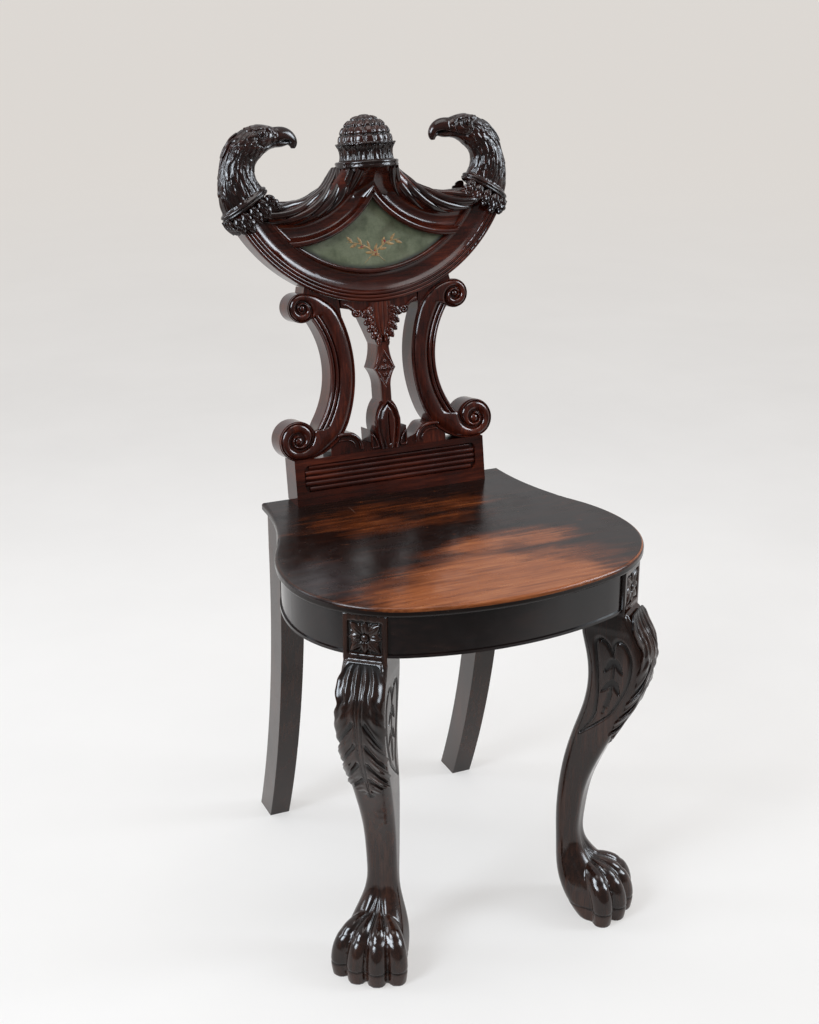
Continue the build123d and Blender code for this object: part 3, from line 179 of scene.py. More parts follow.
def carving_block(node, name, grain):
    """Even-meshed copy of a solid, ready to be carved."""
    block = merged(linked(name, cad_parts[node].data.copy()), turn_out=False)
    remesh = block.modifiers.new("remesh", "REMESH")
    remesh.mode = "VOXEL"
    remesh.voxel_size = grain * MM
    remesh.adaptivity = 0.0
    bpy.ops.object.modifier_apply(modifier=remesh.name)
    return block


def meshed(name, points, faces):
    """Piece from vertices in millimetres and faces, with its normals turned outwards."""
    mesh = bpy.data.meshes.new(name)
    mesh.from_pydata([tuple(point * MM) for point in np.asarray(points, float)], [], faces)
    return merged(linked(name, mesh), turn_out=True)


def other_side(piece, name):
    """Mirror copy of a piece for the other half of the chair."""
    twin = linked(name, piece.data.copy())
    twin.data.transform(Matrix.Scale(-1, 4, (1, 0, 0)))
    twin.data.flip_normals()
    return twin


def settled(piece, finish, slot, *nodes):
    """Gives a finished piece its finish and hides the solids that it stands for; the slot it is given is not
    used.
    """
    piece.data.materials.clear()
    piece.data.materials.append(finish)
    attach(piece, "root")
    if nodes:
        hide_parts(*nodes)


def settled_pair(piece, finish, slot, node=None):
    """Settles a piece of the right side and its mirror copy on the left."""
    settled(piece, finish, slot, *([node + "_right"] if node else []))
    twin = other_side(piece, piece.name.replace("right", "left"))
    settled(twin, finish, slot, *([node + "_left"] if node else []))


def paint(red, green, blue):
    """Shader colour from the 0 to 255 values of a paint chip."""
    chip = [value / 255 for value in (red, green, blue)]
    linear = [value / 12.92 if value <= 0.04045 else ((value + 0.055) / 1.055) ** 2.4 for value in chip]
    return linear + [1.0]


class Finish:
    """A material and short ways to add nodes to it."""

    def __init__(self, name):
        self.material = bpy.data.materials.new(name)
        self.material.use_nodes = True
        self.tree = self.material.node_tree
        self.shader = self.tree.nodes["Principled BSDF"]
        self.place = self.node("ShaderNodeTexCoord").outputs["Object"]

    def node(self, kind, inputs=(), **settings):
        made = self.tree.nodes.new(kind)
        for name, value in settings.items():
            setattr(made, name, value)
        for name, value in dict(inputs).items():
            self.feed(made.inputs[name], value)
        return made

    def feed(self, socket, value):
        if isinstance(value, bpy.types.NodeSocket):
            self.tree.links.new(value, socket)
        else:
            socket.default_value = value

    def give(self, name, value):
        """Sets a socket of the shader itself."""
        self.feed(self.shader.inputs[name], value)

    def calc(self, operation, first, second=0.0, clamp=False):
        inputs = {0: first, 1: second}
        return self.node("ShaderNodeMath", inputs, operation=operation, use_clamp=clamp).outputs[0]

    def times(self, first, second):
        return self.calc("MULTIPLY", first, second)

    def plus(self, first, second):
        return self.calc("ADD", first, second)

    def minus(self, first, second):
        return self.calc("SUBTRACT", first, second)

    def length(self, across, along):
        return self.calc("SQRT", self.plus(self.times(across, across), self.times(along, along)))

    def dot(self, way):
        """How far a place lies in a direction."""
        inputs = {0: self.place, 1: list(way)}
        return self.node("ShaderNodeVectorMath", inputs, operation="DOT_PRODUCT").outputs["Value"]

    def axes(self):
        return self.node("ShaderNodeSeparateXYZ", {"Vector": self.place}).outputs

    def turned(self, scale, turn=(0, 0, 0), shift=(0, 0, 0)):
        inputs = {"Vector": self.place, "Scale": scale, "Rotation": turn, "Location": shift}
        return self.node("ShaderNodeMapping", inputs).outputs[0]

    def cloud(self, vector, scale, detail, roughness, distortion=0.0):
        inputs = {"Vector": vector, "Scale": scale, "Detail": detail}
        inputs.update({"Roughness": roughness, "Distortion": distortion})
        return self.node("ShaderNodeTexNoise", inputs).outputs[0]

    def spread(self, value, low, high, to_low=0.0, to_high=1.0):
        inputs = {"Value": value, "From Min": low, "From Max": high, "To Min": to_low, "To Max": to_high}
        return self.node("ShaderNodeMapRange", inputs, interpolation_type="SMOOTHSTEP").outputs[0]

    def ramp(self, value, *stops):
        made = self.node("ShaderNodeValToRGB", {"Fac": value})
        elements = made.color_ramp.elements
        while len(elements) < len(stops):
            elements.new(0.5)
        for element, (place, colour) in zip(elements, stops):
            element.position = place
            element.color = colour
        return made.outputs["Color"]

    def blend(self, share, first, second):
        made = self.node("ShaderNodeMix", data_type="RGBA")
        self.feed(made.inputs["Factor"], share)
        self.feed(made.inputs[6], first)
        self.feed(made.inputs[7], second)
        return made.outputs[2]

    def kept(self, name):
        """Value that the piece keeps for each vertex."""
        return self.node("ShaderNodeAttribute", attribute_name=name).outputs["Fac"]

    def relief(self, height, strength, distance):
        inputs = {"Height": height, "Strength": strength, "Distance": distance}
        self.give("Normal", self.node("ShaderNodeBump", inputs).outputs[0])


# Axes that timber grain runs along
ACROSS, TALL = 0, 2
GLOSS = 0.13


def polished_mahogany(name, dark, middle, light, along):
    """French-polished mahogany: streaked figure, painted shade in the hollows, rubbed high places."""
    wood = Finish(name)
    stretch = [0.07 if axis == along else 1.0 for axis in range(3)]
    grain = wood.cloud(wood.turned(stretch), 240.0, 4.0, 0.6, 0.4)
    pores = wood.cloud(wood.turned(stretch), 1400.0, 2.0, 0.5)
    figure = wood.cloud(wood.turned([0.4 + 0.6 * part for part in stretch]), 22.0, 3.0, 0.55, 0.8)
    mixed = wood.plus(wood.times(grain, 0.5), wood.times(figure, 0.5))
    colour = wood.ramp(mixed, (0.3, dark), (0.52, middle), (0.74, light))
    pored = wood.blend(wood.spread(pores, 0.55, 0.75, 0.0, 0.45), colour, dark)
    rubbed = wood.blend(wood.times(wood.kept("rubbed"), 0.7), pored, light)
    # The hollow value darkens the colour towards near-black: painted shade in cuts, grooves and under carved
    # slabs.
    hollow = wood.kept("hollow")
    wood.give("Base Color", wood.blend(wood.times(hollow, 0.85), rubbed, paint(8, 5, 4)))
    smear = wood.cloud(wood.place, 45.0, 4.0, 0.6)
    rough = wood.spread(smear, 0.3, 0.75, GLOSS - 0.05, GLOSS + 0.1)
    wood.give("Roughness", wood.plus(rough, wood.times(hollow, 0.2)))
    wood.give("Specular IOR Level", 0.46)
    wood.relief(wood.plus(wood.times(grain, 0.4), wood.times(pores, 0.4)), 0.1, 0.0004)
    return wood.material


# Places on the seat in metres: middle along x and y, half width and half depth
FRONT_WEAR = (-0.01, -0.205, 0.19, 0.14)
MIDDLE_WEAR = (0.055, -0.08, 0.1, 0.04)
REAR_WEAR = (-0.01, 0.04, 0.16, 0.06)
HAZE_SPOT = (-0.165, -0.1, 0.045, 0.055)
SEAT_TOP = 0.44


def worn_seat():
    """Seat top: orange-brown where it is sat on, nearly black at the back and the edges, scratched."""
    wood = Finish("worn_seat_mahogany")
    x, y, z = wood.axes()
    grain = wood.cloud(wood.turned((0.06, 1, 1)), 260.0, 5.0, 0.62, 0.5)
    streak = wood.cloud(wood.turned((0.09, 1, 1)), 60.0, 4.0, 0.6, 0.6)
    patch = wood.cloud(wood.turned((0.55, 1, 1), shift=(0.31, 0.12, 0)), 14.0, 5.0, 0.65, 0.3)

    def pool(middle_x, middle_y, half_x, half_y):
        across = wood.calc("DIVIDE", wood.minus(x, middle_x), half_x)
        along = wood.calc("DIVIDE", wood.minus(y, middle_y), half_y)
        return wood.spread(wood.length(across, along), 1.15, 0.38)

    worn = wood.calc("MAXIMUM", pool(*FRONT_WEAR), wood.times(pool(*MIDDLE_WEAR), 0.8))
    worn = wood.calc("MAXIMUM", worn, wood.times(pool(*REAR_WEAR), 0.42))
    rag = wood.plus(wood.spread(patch, 0.3, 0.68, -0.26, 0.24), wood.spread(streak, 0.3, 0.7, -0.2, 0.18))
    share = wood.calc("ADD", worn, wood.times(rag, 0.8), clamp=True)
    stain = wood.ramp(grain, (0.3, paint(12, 7, 6)), (0.55, paint(26, 13, 9)), (0.78, paint(48, 24, 14)))
    brown = wood.ramp(grain, (0.3, paint(40, 18, 8)), (0.52, paint(78, 35, 14)), (0.75, paint(106, 55, 26)))
    bare_stops = ((0.3, paint(106, 54, 26)), (0.52, paint(144, 80, 42)), (0.75, paint(168, 106, 64)))
    half_worn = wood.blend(wood.spread(share, 0.12, 0.5), stain, brown)
    top = wood.blend(wood.spread(share, 0.4, 0.9), half_worn, wood.ramp(grain, *bare_stops))

    speck = wood.cloud(wood.turned((0.6, 1, 1), shift=(0.7, 0.3, 0)), 190.0, 4.0, 0.7)
    specked = wood.blend(wood.spread(speck, 0.64, 0.74, 0.0, 0.6), top, paint(112, 60, 32))
    haze = wood.times(pool(*HAZE_SPOT), wood.spread(patch, 0.35, 0.65, 0.05, 0.3))
    hazed = wood.blend(haze, specked, paint(96, 90, 92))
    side = wood.blend(wood.spread(z, SEAT_TOP - 0.0035, SEAT_TOP - 0.0048), hazed, paint(26, 17, 14))

    scuff = wood.cloud(wood.turned((1, 0.03, 1), turn=(0, 0, 0.5)), 420.0, 2.0, 0.5)
    nick = wood.cloud(wood.turned((0.05, 1, 1), turn=(0, 0, 0.9)), 330.0, 2.0, 0.5)
    marks = wood.calc("MAXIMUM", wood.spread(scuff, 0.75, 0.79), wood.spread(nick, 0.77, 0.81))
    scratched = wood.blend(wood.times(marks, 0.3), side, paint(165, 140, 125))

    above = wood.spread(z, SEAT_TOP - 0.0015, SEAT_TOP - 0.0009)
    corner = wood.times(above, wood.spread(z, SEAT_TOP - 0.00005, SEAT_TOP - 0.0003))
    front_right = wood.times(wood.spread(y, 0.0, -0.06), wood.spread(x, -0.1, 0.04, 0.1, 1.0))
    rim = wood.times(wood.times(corner, front_right), wood.spread(patch, 0.35, 0.6, 0.2, 0.85))
    wood.give("Base Color", wood.blend(rim, scratched, paint(160, 92, 54)))
    smear = wood.cloud(wood.place, 26.0, 5.0, 0.65)
    wood.give("Roughness", wood.spread(smear, 0.3, 0.7, 0.15, 0.32))
    wood.give("Specular IOR Level", 0.26)
    wood.relief(wood.plus(grain, wood.times(marks, -0.8)), 0.1, 0.0004)
    return wood.material


def aged_green_paint():
    """Oil paint on the tablet: mottled grey-green with brown patches, a dark border that is partly grime and
    partly painted shade, fine cracks.
    """
    coat = Finish("aged_green_paint")
    mottle = coat.cloud(coat.place, 55.0, 5.0, 0.65)
    bloom = coat.cloud(coat.turned((1, 1, 1), shift=(0.4, 0.2, 0.1)), 20.0, 4.0, 0.6, 0.4)
    greens = ((0.28, paint(72, 78, 56)), (0.5, paint(101, 107, 80)), (0.75, paint(122, 126, 98)))
    green = coat.ramp(mottle, *greens)
    browned = coat.blend(coat.spread(bloom, 0.55, 0.78, 0.0, 0.6), green, paint(74, 60, 40))

    x = coat.axes()[0]
    rise = coat.minus(coat.dot(BACK_UP), MM * float(BACK_START @ BACK_UP))
    swag_x, swag_rise = SWAG_MIDDLE
    crest_reach = coat.length(x, coat.minus(rise, MM * CREST_RISE))
    swag_across = coat.minus(coat.calc("ABSOLUTE", x), MM * swag_x)
    swag_reach = coat.length(swag_across, coat.minus(rise, MM * swag_rise))
    below = coat.minus(MM * TABLET_RADIUS, crest_reach)
    beside = coat.minus(swag_reach, MM * LIP_FOOT)
    # Darker border along the tablet's edge: partly grime, partly painted shade.
    near_edge = coat.spread(coat.calc("MINIMUM", below, beside), 0.006, 0.0005)
    grime_and_shade = coat.times(near_edge, coat.spread(mottle, 0.3, 0.6, 0.5, 0.95))
    rim = coat.blend(grime_and_shade, browned, paint(24, 22, 17))

    cells = {"Vector": coat.place, "Scale": 260.0}
    cracks = coat.node("ShaderNodeTexVoronoi", cells, feature="DISTANCE_TO_EDGE").outputs[0]
    fine = coat.spread(cracks, 0.05, 0.0)
    coat.give("Base Color", coat.blend(coat.times(fine, 0.25), rim, paint(48, 46, 34)))
    coat.give("Roughness", coat.spread(mottle, 0.3, 0.7, 0.38, 0.55))
    coat.relief(coat.minus(mottle, fine), 0.12, 0.0003)
    return coat.material


def worn_paint(name, deep, pale):
    """Old brushed paint of the tablet's sprigs."""
    coat = Finish(name)
    mottle = coat.cloud(coat.place, 420.0, 4.0, 0.65)
    coat.give("Base Color", coat.ramp(mottle, (0.32, deep), (0.66, pale)))
    coat.give("Roughness", coat.spread(mottle, 0.3, 0.7, 0.42, 0.6))
    coat.relief(mottle, 0.15, 0.0002)
    return coat.material


def bare_timber(name, pale, deep, along):
    """Unpolished inner timber."""
    wood = Finish(name)
    stretch = [0.08 if axis == along else 1.0 for axis in range(3)]
    grain = wood.cloud(wood.turned(stretch), 180.0, 4.0, 0.6, 0.3)
    wood.give("Base Color", wood.ramp(grain, (0.3, deep), (0.7, pale)))
    wood.give("Roughness", wood.spread(grain, 0.3, 0.7, 0.62, 0.8))
    wood.relief(grain, 0.2, 0.0005)
    return wood.material


def dull_steel():
    """Old steel of the hidden screws."""
    steel = Finish("dull_screw_steel")
    tarnish = steel.cloud(steel.place, 400.0, 4.0, 0.6)
    greys = ((0.35, paint(96, 92, 88)), (0.7, paint(140, 137, 132)))
    steel.give("Base Color", steel.ramp(tarnish, *greys))
    steel.give("Roughness", steel.spread(tarnish, 0.3, 0.7, 0.35, 0.6))
    steel.give("Metallic", 1.0)
    return steel.material


# Dark, middle and light tone of each polished timber
FRAME_TONES = (paint(12, 8, 8), paint(26, 18, 17), paint(46, 30, 26))
LEG_TONES = (paint(16, 10, 8), paint(46, 27, 20), paint(82, 49, 36))
CARVED_TONES = (paint(12, 6, 5), paint(34, 14, 10), paint(70, 31, 21))
BACK_TONES = (paint(20, 7, 5), paint(62, 22, 13), paint(110, 47, 28))
UPRIGHT_TONES = (paint(20, 7, 5), paint(66, 24, 15), paint(116, 50, 30))

frame_wood = polished_mahogany("dark_frame_mahogany", *FRAME_TONES, ACROSS)
leg_wood = polished_mahogany("dark_leg_mahogany", *LEG_TONES, TALL)
carved_wood = polished_mahogany("dark_carved_mahogany", *CARVED_TONES, ACROSS)
back_wood = polished_mahogany("red_back_mahogany", *BACK_TONES, ACROSS)
upright_wood = polished_mahogany("red_upright_mahogany", *UPRIGHT_TONES, TALL)
seat_wood = worn_seat()
tablet_paint = aged_green_paint()
ochre_paint = worn_paint("worn_ochre_paint", paint(104, 78, 44), paint(182, 146, 92))
red_paint = worn_paint("worn_red_paint", paint(112, 28, 22), paint(186, 58, 46))
softwood = bare_timber("bare_softwood", paint(196, 160, 112), paint(150, 112, 72), ACROSS)
beech = bare_timber("bare_beech", paint(206, 172, 126), paint(170, 132, 88), TALL)
screw_steel = dull_steel()

# Finishes of the solids by what their names hold, the first that fits; the rest are of the back's timber
NODE_FINISHES = (
    ("seat_board", seat_wood),
    ("painted_tablet", tablet_paint),
    ("_screws", screw_steel),
    ("_dowels", beech),
    ("corner_block", softwood),
    ("_leg_", leg_wood),
    ("front_rail", frame_wood),
    ("side_rail", frame_wood),
    ("rear_rail", frame_wood),
    ("scroll_upright", upright_wood),
    ("splat", upright_wood),
)
for name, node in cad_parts.items():
    finishes = [finish for part, finish in NODE_FINISHES if part in name]
    node.data.materials.clear()
    node.data.materials.append(finishes[0] if finishes else back_wood)
    smooth_shaded(node, SOLID_EDGE)


def chance(*numbers):
    """Even scatter from 0 to 1 that is the same on each run."""
    weights = (12.9898, 78.233)
    mixed = sum(np.asarray(number, float) * weight for number, weight in zip(numbers, weights))
    return np.modf(np.abs(np.sin(mixed) * 43758.5453))[0]


def unit(vectors):
    """Vectors made of length 1."""
    return vectors / np.maximum(np.linalg.norm(vectors, axis=-1, keepdims=True), 1e-9)


def round_from(middle, reach, angle):
    """Places along and up at distances from a middle, in directions given in radians."""
    return middle[0] + reach * np.cos(angle), middle[1] + reach * np.sin(angle)


def smooth_line(points, count):
    """Evenly spread points on a smooth line through a few others."""
    points = np.asarray(points, float)
    ends = np.vstack((2 * points[0] - points[1], points, 2 * points[-1] - points[-2]))
    spans = len(points) - 1
    line = []
    for share in np.linspace(0, spans - 1e-9, count):
        span = int(share)
        t = share - span
        a, b, c, d = ends[span : span + 4]
        bend = (2 * a - 5 * b + 4 * c - d) * t**2 + (3 * b - a - 3 * c + d) * t**3
        line.append(0.5 * (2 * b + (c - a) * t + bend))
    return np.array(line)


def eased(line, rounds=3):
    """Line with its small kinks smoothed out."""
    line = np.array(line, float)
    for _ in range(rounds):
        line[1:-1] = 0.25 * line[:-2] + 0.5 * line[1:-1] + 0.25 * line[2:]
    return line


def swept(spine, up, half_widths, heights, sides=12, crease=0.0):
    """Closed tapering strip along a line: a lens across, raised to one side, with an optional midrib."""
    along = unit(np.gradient(spine, axis=0))
    up = np.broadcast_to(np.asarray(up, float), spine.shape)
    up = unit(up - along * np.sum(along * up, axis=1, keepdims=True))
    across = np.cross(along, up)
    points = []
    for turn in np.linspace(0, 2 * pi, sides, endpoint=False):
        rib = 1 - crease * (1 - abs(cos(turn))) if sin(turn) > 0 else 1
        aside = across * (cos(turn) * half_widths)[:, None]
        points.append(spine + aside + up * (sin(turn) * rib * heights)[:, None])
    points = np.stack(points, axis=1).reshape(-1, 3)
    faces = []
    for ring in range(len(spine) - 1):
        for side in range(sides):
            a = ring * sides + side
            b = ring * sides + (side + 1) % sides
            faces.append((a, b, b + sides, a + sides))
    faces.append(tuple(range(sides)))
    faces.append(tuple((len(spine) - 1) * sides + side for side in range(sides)))
    return points, faces


def slab(top, bottom):
    """Closed sheet between an upper and a lower grid of points."""
    rows, wide = top.shape[:2]
    half = rows * wide
    grid = np.arange(half).reshape(rows, wide)
    corners = (grid[:-1, :-1], grid[:-1, 1:], grid[1:, 1:], grid[1:, :-1])
    over = np.stack([corner.ravel() for corner in corners], axis=1)
    under = over[:, (0, 3, 2, 1)] + half
    rim = np.concatenate((grid[0], grid[1:, -1], grid[-1, -2::-1], grid[-2:0:-1, 0]))
    after = np.roll(rim, -1)
    walls = np.stack((rim, rim + half, after + half, after), axis=1)
    faces = [tuple(face) for face in np.vstack((over, under, walls)).tolist()]
    return np.vstack((top.reshape(-1, 3), bottom.reshape(-1, 3))), faces


def gathered(name, strips):
    """One piece from several strips."""
    points, faces, count = [], [], 0
    for strip_points, strip_faces in strips:
        points.append(strip_points)
        faces += [tuple(index + count for index in face) for face in strip_faces]
        count += len(strip_points)
    piece = meshed(name, np.vstack(points), faces)
    smooth_shaded(piece, 50)
    return piece


# Small leaves: lobes on a side, how deep they are cut and how far they sweep along the leaf
LOBES, LOBE_NOTCH, LOBE_SWEEP = 3.0, 0.4, 0.495
LOBE_START = 0.12


def carved_leaf(spine, out, half_widths, thick, arch, vein):
    """Leaf along a line: lobed edge, midrib, veins that run to the lobes, and a solid back."""
    u = np.linspace(0, 1, len(spine))[:, None]
    v = np.linspace(-1, 1, 19)[None, :]
    half_widths = half_widths[:, None]
    run = unit(np.gradient(spine, axis=0))
    side = unit(np.cross(run, out))
    lobe = np.abs(np.sin(pi * (LOBES * u + LOBE_START))) ** 0.7
    edge = half_widths * (1 - LOBE_NOTCH + LOBE_NOTCH * lobe)
    sweep = LOBE_SWEEP * np.abs(v) ** 1.5 * half_widths
    phase = LOBES * u - 0.55 * np.abs(v) ** 0.8 + LOBE_START
    groove = np.abs(np.cos(pi * phase)) ** 6 * step(0.06, 0.3, np.abs(v))
    rib = hump(v, 0.0, 0.1) * 0.9 - hump(np.abs(v), 0.2, 0.07) * 0.8
    height = arch * (1 - v**2) ** 0.6 - vein * groove + vein * rib * (1 - u * 0.5)
    face = spine[:, None, :] + side[:, None, :] * (v * edge)[..., None]
    face = face + run[:, None, :] * sweep[..., None] + out * height[..., None]
    return slab(face, face - out * (thick + height * 0.85)[..., None])


def sunk_copy(node, name, depth):
    """Copy of a solid of the back whose front face, with its grooves, is cut back to one depth."""
    copy = linked(name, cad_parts[node].data.copy())
    points = places(copy)
    out = from_back(points)[2]
    put(copy, points - np.outer(np.clip(out + depth, 0, None), BACK_OUT))
    smooth_shaded(copy, SOLID_EDGE)
    return copy


# Eagle heads: the right one's neck line from the collar to the brow, and the lines of its face
EAGLE_DEPTH = -16.0
NECK_LINE = (
    (148.6, 344.0),
    (152.0, 362.0),
    (151.5, 378.0),
    (146.0, 392.5),
    (134.5, 404.0),
    (119.5, 409.5),
    (107.0, 410.0),
)
COLLAR_MIDDLE = (144.25, 337.0)
COLLAR_TURN = radians(59.1)
EYE = (123.0, 414.5)
NOSTRIL = (107.5, 412.0)
MOUTH = ((89.5, 403.8), (96.0, 405.0), (106.0, 403.8), (115.0, 400.5), (121.0, 399.0))
CERE = ((112.5, 422.0), (109.5, 413.0), (111.5, 404.5))
BEAK_RIDGE = ((106.0, 421.0), (103.0, 413.5), (104.5, 406.0))
BROW = ((112.0, 419.0), (133.0, 420.5))
UNDER_BROW = ((113.0, 415.5), (122.0, 419.6), (131.0, 417.0))
CHEEK = ((121.0, 399.0), (128.0, 403.0), (131.0, 411.0))
FEATHER_COLUMNS = 13
FEATHER_DEPTH, COLLAR_GROOVE = 3.4, 1.7


def along_neck(x, rise):
    """Length along the neck line and offset to its outer side."""
    best = np.full(x.shape, 1e9)
    length = np.zeros(x.shape)
    offset = np.zeros(x.shape)
    passed = 0.0
    for start, end in zip(NECK_LINE, NECK_LINE[1:]):
        run = np.subtract(end, start)
        size = np.hypot(*run)
        gap, share = segment_distance(x, rise, start, end)
        near = gap < best
        side = ((x - start[0]) * run[1] - (rise - start[1]) * run[0]) / size
        best = np.where(near, gap, best)
        length = np.where(near, passed + share * size, length)
        offset = np.where(near, side, offset)
        passed += size
    return length, offset


def over_collar(x, rise):
    """How far a place lies past the middle of the collar, towards the head."""
    return (x - COLLAR_MIDDLE[0]) * cos(COLLAR_TURN) + (rise - COLLAR_MIDDLE[1]) * sin(COLLAR_TURN)


def feathers(along, around, pitch, reach):
    """Height from 0 to 1 of overlapping rows of lancet feathers whose tips point back along the neck."""
    height = np.zeros(along.shape)
    first = np.floor(along / pitch)
    for row_step in range(3):
        row = first + row_step
        share = ((row + 1) * pitch - along) / reach
        sway = 0.5 * np.mod(row, 2) + 0.16 * np.sin(along * 0.16 + 5.0 * row)
        column_place = around * FEATHER_COLUMNS + sway
        for column_step in (-1, 0, 1):
            column = np.floor(column_place) + column_step
            wander = chance(row, np.mod(column, FEATHER_COLUMNS)) - 0.5
            across = column_place - column - 0.5 + 0.22 * wander
            length = share * (1 + 0.3 * wander)
            half = 0.66 * np.sqrt(np.clip(1 - length**2.6, 0, 1))
            inside = (length > 0) & (length < 1) & (np.abs(across) < half)
            arch = 1 - 0.75 * (np.abs(across) / np.maximum(half, 1e-3)) ** 2
            quill = 0.12 * hump(across, 0.0, 0.07)
            barb = 0.05 * np.sin(30 * np.abs(across) + 26 * length)
            rise = (0.3 + 0.7 * length) * (arch + barb) - quill
            height = np.where(inside, np.maximum(height, rise), height)
    return np.clip(height, 0, 1)


def eagle_face(x, rise, deep, eye_gap):
    """Depth of the ringed eye, brow, cheek, nostril and cere, and of the slit of the hooked beak."""
    open_beak = 1 - step(92.0, 104.0, x)
    mouth = -(2.0 + 2.4 * open_beak) * hump(path_distance(x, rise, MOUTH), 0.0, 0.9 + 0.9 * open_beak)
    socket = -1.8 * hump(eye_gap, 4.0, 0.8) - 1.2 * hump(eye_gap, 6.8, 1.0)
    brow = 1.4 * hump(path_distance(x, rise, BROW), 0.0, 2.2)
    brow = brow - 1.3 * hump(path_distance(x, rise, UNDER_BROW), 0.0, 0.8)
    cere = -1.3 * hump(path_distance(x, rise, CERE), 0.0, 0.9)
    cere = cere - 0.8 * hump(path_distance(x, rise, BEAK_RIDGE), 0.0, 0.8)
    nostril = -1.6 * hump(np.hypot(x - NOSTRIL[0], (rise - NOSTRIL[1]) * 1.5), 0.0, 1.4)
    cheek = -1.0 * hump(path_distance(x, rise, CHEEK), 0.0, 1.0)
    on_side = step(4.0, 8.0, np.abs(deep))
    return on_side * (socket + brow + cheek + nostril) + cere * step(1.0, 5.0, np.abs(deep)) + mouth


def eagle_head():
    """Carved head: streaming neck feathers, a face and a double collar."""
    head = carving_block("eagle_head_right", "carved_eagle_head_right", grain=0.75)
    points, normals = places(head), outward(head)
    x, rise, out = from_back(points)
    deep = out - EAGLE_DEPTH
    along, offset = along_neck(x, rise)
    around = np.arctan2(deep, offset) / (2 * pi) + 0.5
    past_collar = over_collar(x, rise)
    eye_gap = np.hypot(x - EYE[0], rise - EYE[1])

    plumage = step(8.2, 10.5, past_collar) * (1 - step(72.0, 84.0, along)) * step(6.5, 9.5, eye_gap)
    throat = 1 - 0.55 * step(0.36, 0.47, np.abs(around - 0.5))
    neck = feathers(along, around, 14.0, 36.0)
    crown = feathers(along + 4.0, around, 8.0, 19.0)
    crown_share = step(50.0, 60.0, along)
    coat = neck * (1 - crown_share) + crown * crown_share
    cut = FEATHER_DEPTH * plumage * throat * (coat - 1)
    face = eagle_face(x, rise, deep, eye_gap) * step(62.0, 70.0, along)
    on_collar = (1 - step(8.6, 9.4, past_collar)) * step(-0.5, 0.5, past_collar)
    groove = -COLLAR_GROOVE * hump(past_collar, 4.0, 0.8) * on_collar
    put(head, points + normals * (cut + face + groove)[:, None])

    # Painted shade: the hollow value darkens the gaps between feathers, the cuts of the face and the collar
    # groove.
    between = plumage * (1 - step(0.25, 0.75, coat)) * 0.75
    tinted(head, "hollow", between + np.clip(-face / 2.2, 0, 1) + np.clip(-groove / COLLAR_GROOVE, 0, 1))
    tinted(head, "rubbed", plumage * step(0.75, 1.0, coat))
    smooth_shaded(head, 75)
    settled_pair(head, carved_wood, "back_mahogany", "eagle_head")


# Loose feathers of the right nape: start, middle and end, half width and place off the head's middle
TUFTS = (
    ((148, 417), (156, 411), (163, 402), 3.4, 0.0),
    ((154, 411), (162, 402), (168.5, 391), 3.4, 3.5),
    ((154, 411), (162, 402), (168, 391), 3.2, -4.5),
    ((160, 403), (166.5, 393), (171, 381), 3.4, 0.5),
    ((159, 402), (164.5, 391), (168, 379), 3.2, 7.0),
    ((159, 402), (164.5, 391), (168, 379), 3.2, -7.0),
)
NAPE_MIDDLE = (142.0, 392.0)


def nape_feathers():
    """Loose feathers that stand off the crown and the back of each head."""
    strips = []
    share = np.linspace(0, 1, 14)
    taper = np.sqrt(np.clip(1 - share**2.2, 0, 1)) * (0.35 + 0.65 * np.sqrt(share))
    for start, middle, end, half, deep in TUFTS:
        flat = smooth_line((start, middle, end), len(share))
        spine = on_back(*flat.T, EAGLE_DEPTH + deep)
        away = unit(spine - on_back(*NAPE_MIDDLE, EAGLE_DEPTH))
        width = half * taper
        strips.append(swept(spine, away, width, 0.6 * width + 0.05, crease=0.2))
    settled_pair(gathered("nape_feathers_right", strips), carved_wood, "back_mahogany")


eagle_head()
nape_feathers()


# Finial: its depth and the heights of its ring and collar up the back, and the number of its ribs and leaves
FINIAL_DEPTH = -12.5
RING_FOOT, RING_TOP, COLLAR_TOP = 371.0, 379.0, 398.0
DOME_COLUMNS, DOME_ROWS, FINIAL_LEAVES = 16, 4.6, 14
FINIAL_LEAF_DEPTH = 2.8


def upright_leaves(turn, up, shift, tip):
    """Height from 0 to 1 of a ring of upright leaves with a raised border and a midrib."""
    place = np.abs(np.mod(turn * FINIAL_LEAVES + shift, 1.0) - 0.5)
    half = 0.48 * np.clip(1 - (up / tip) ** 2.2, 0, 1) ** 0.55
    share = place / np.maximum(half, 1e-3)
    border = 0.45 * hump(share, 0.82, 0.16)
    vein = 0.5 * hump(place, 0.0, 0.07) * (1 - up)
    return np.where(share < 1, 0.55 + border + vein, 0.0)


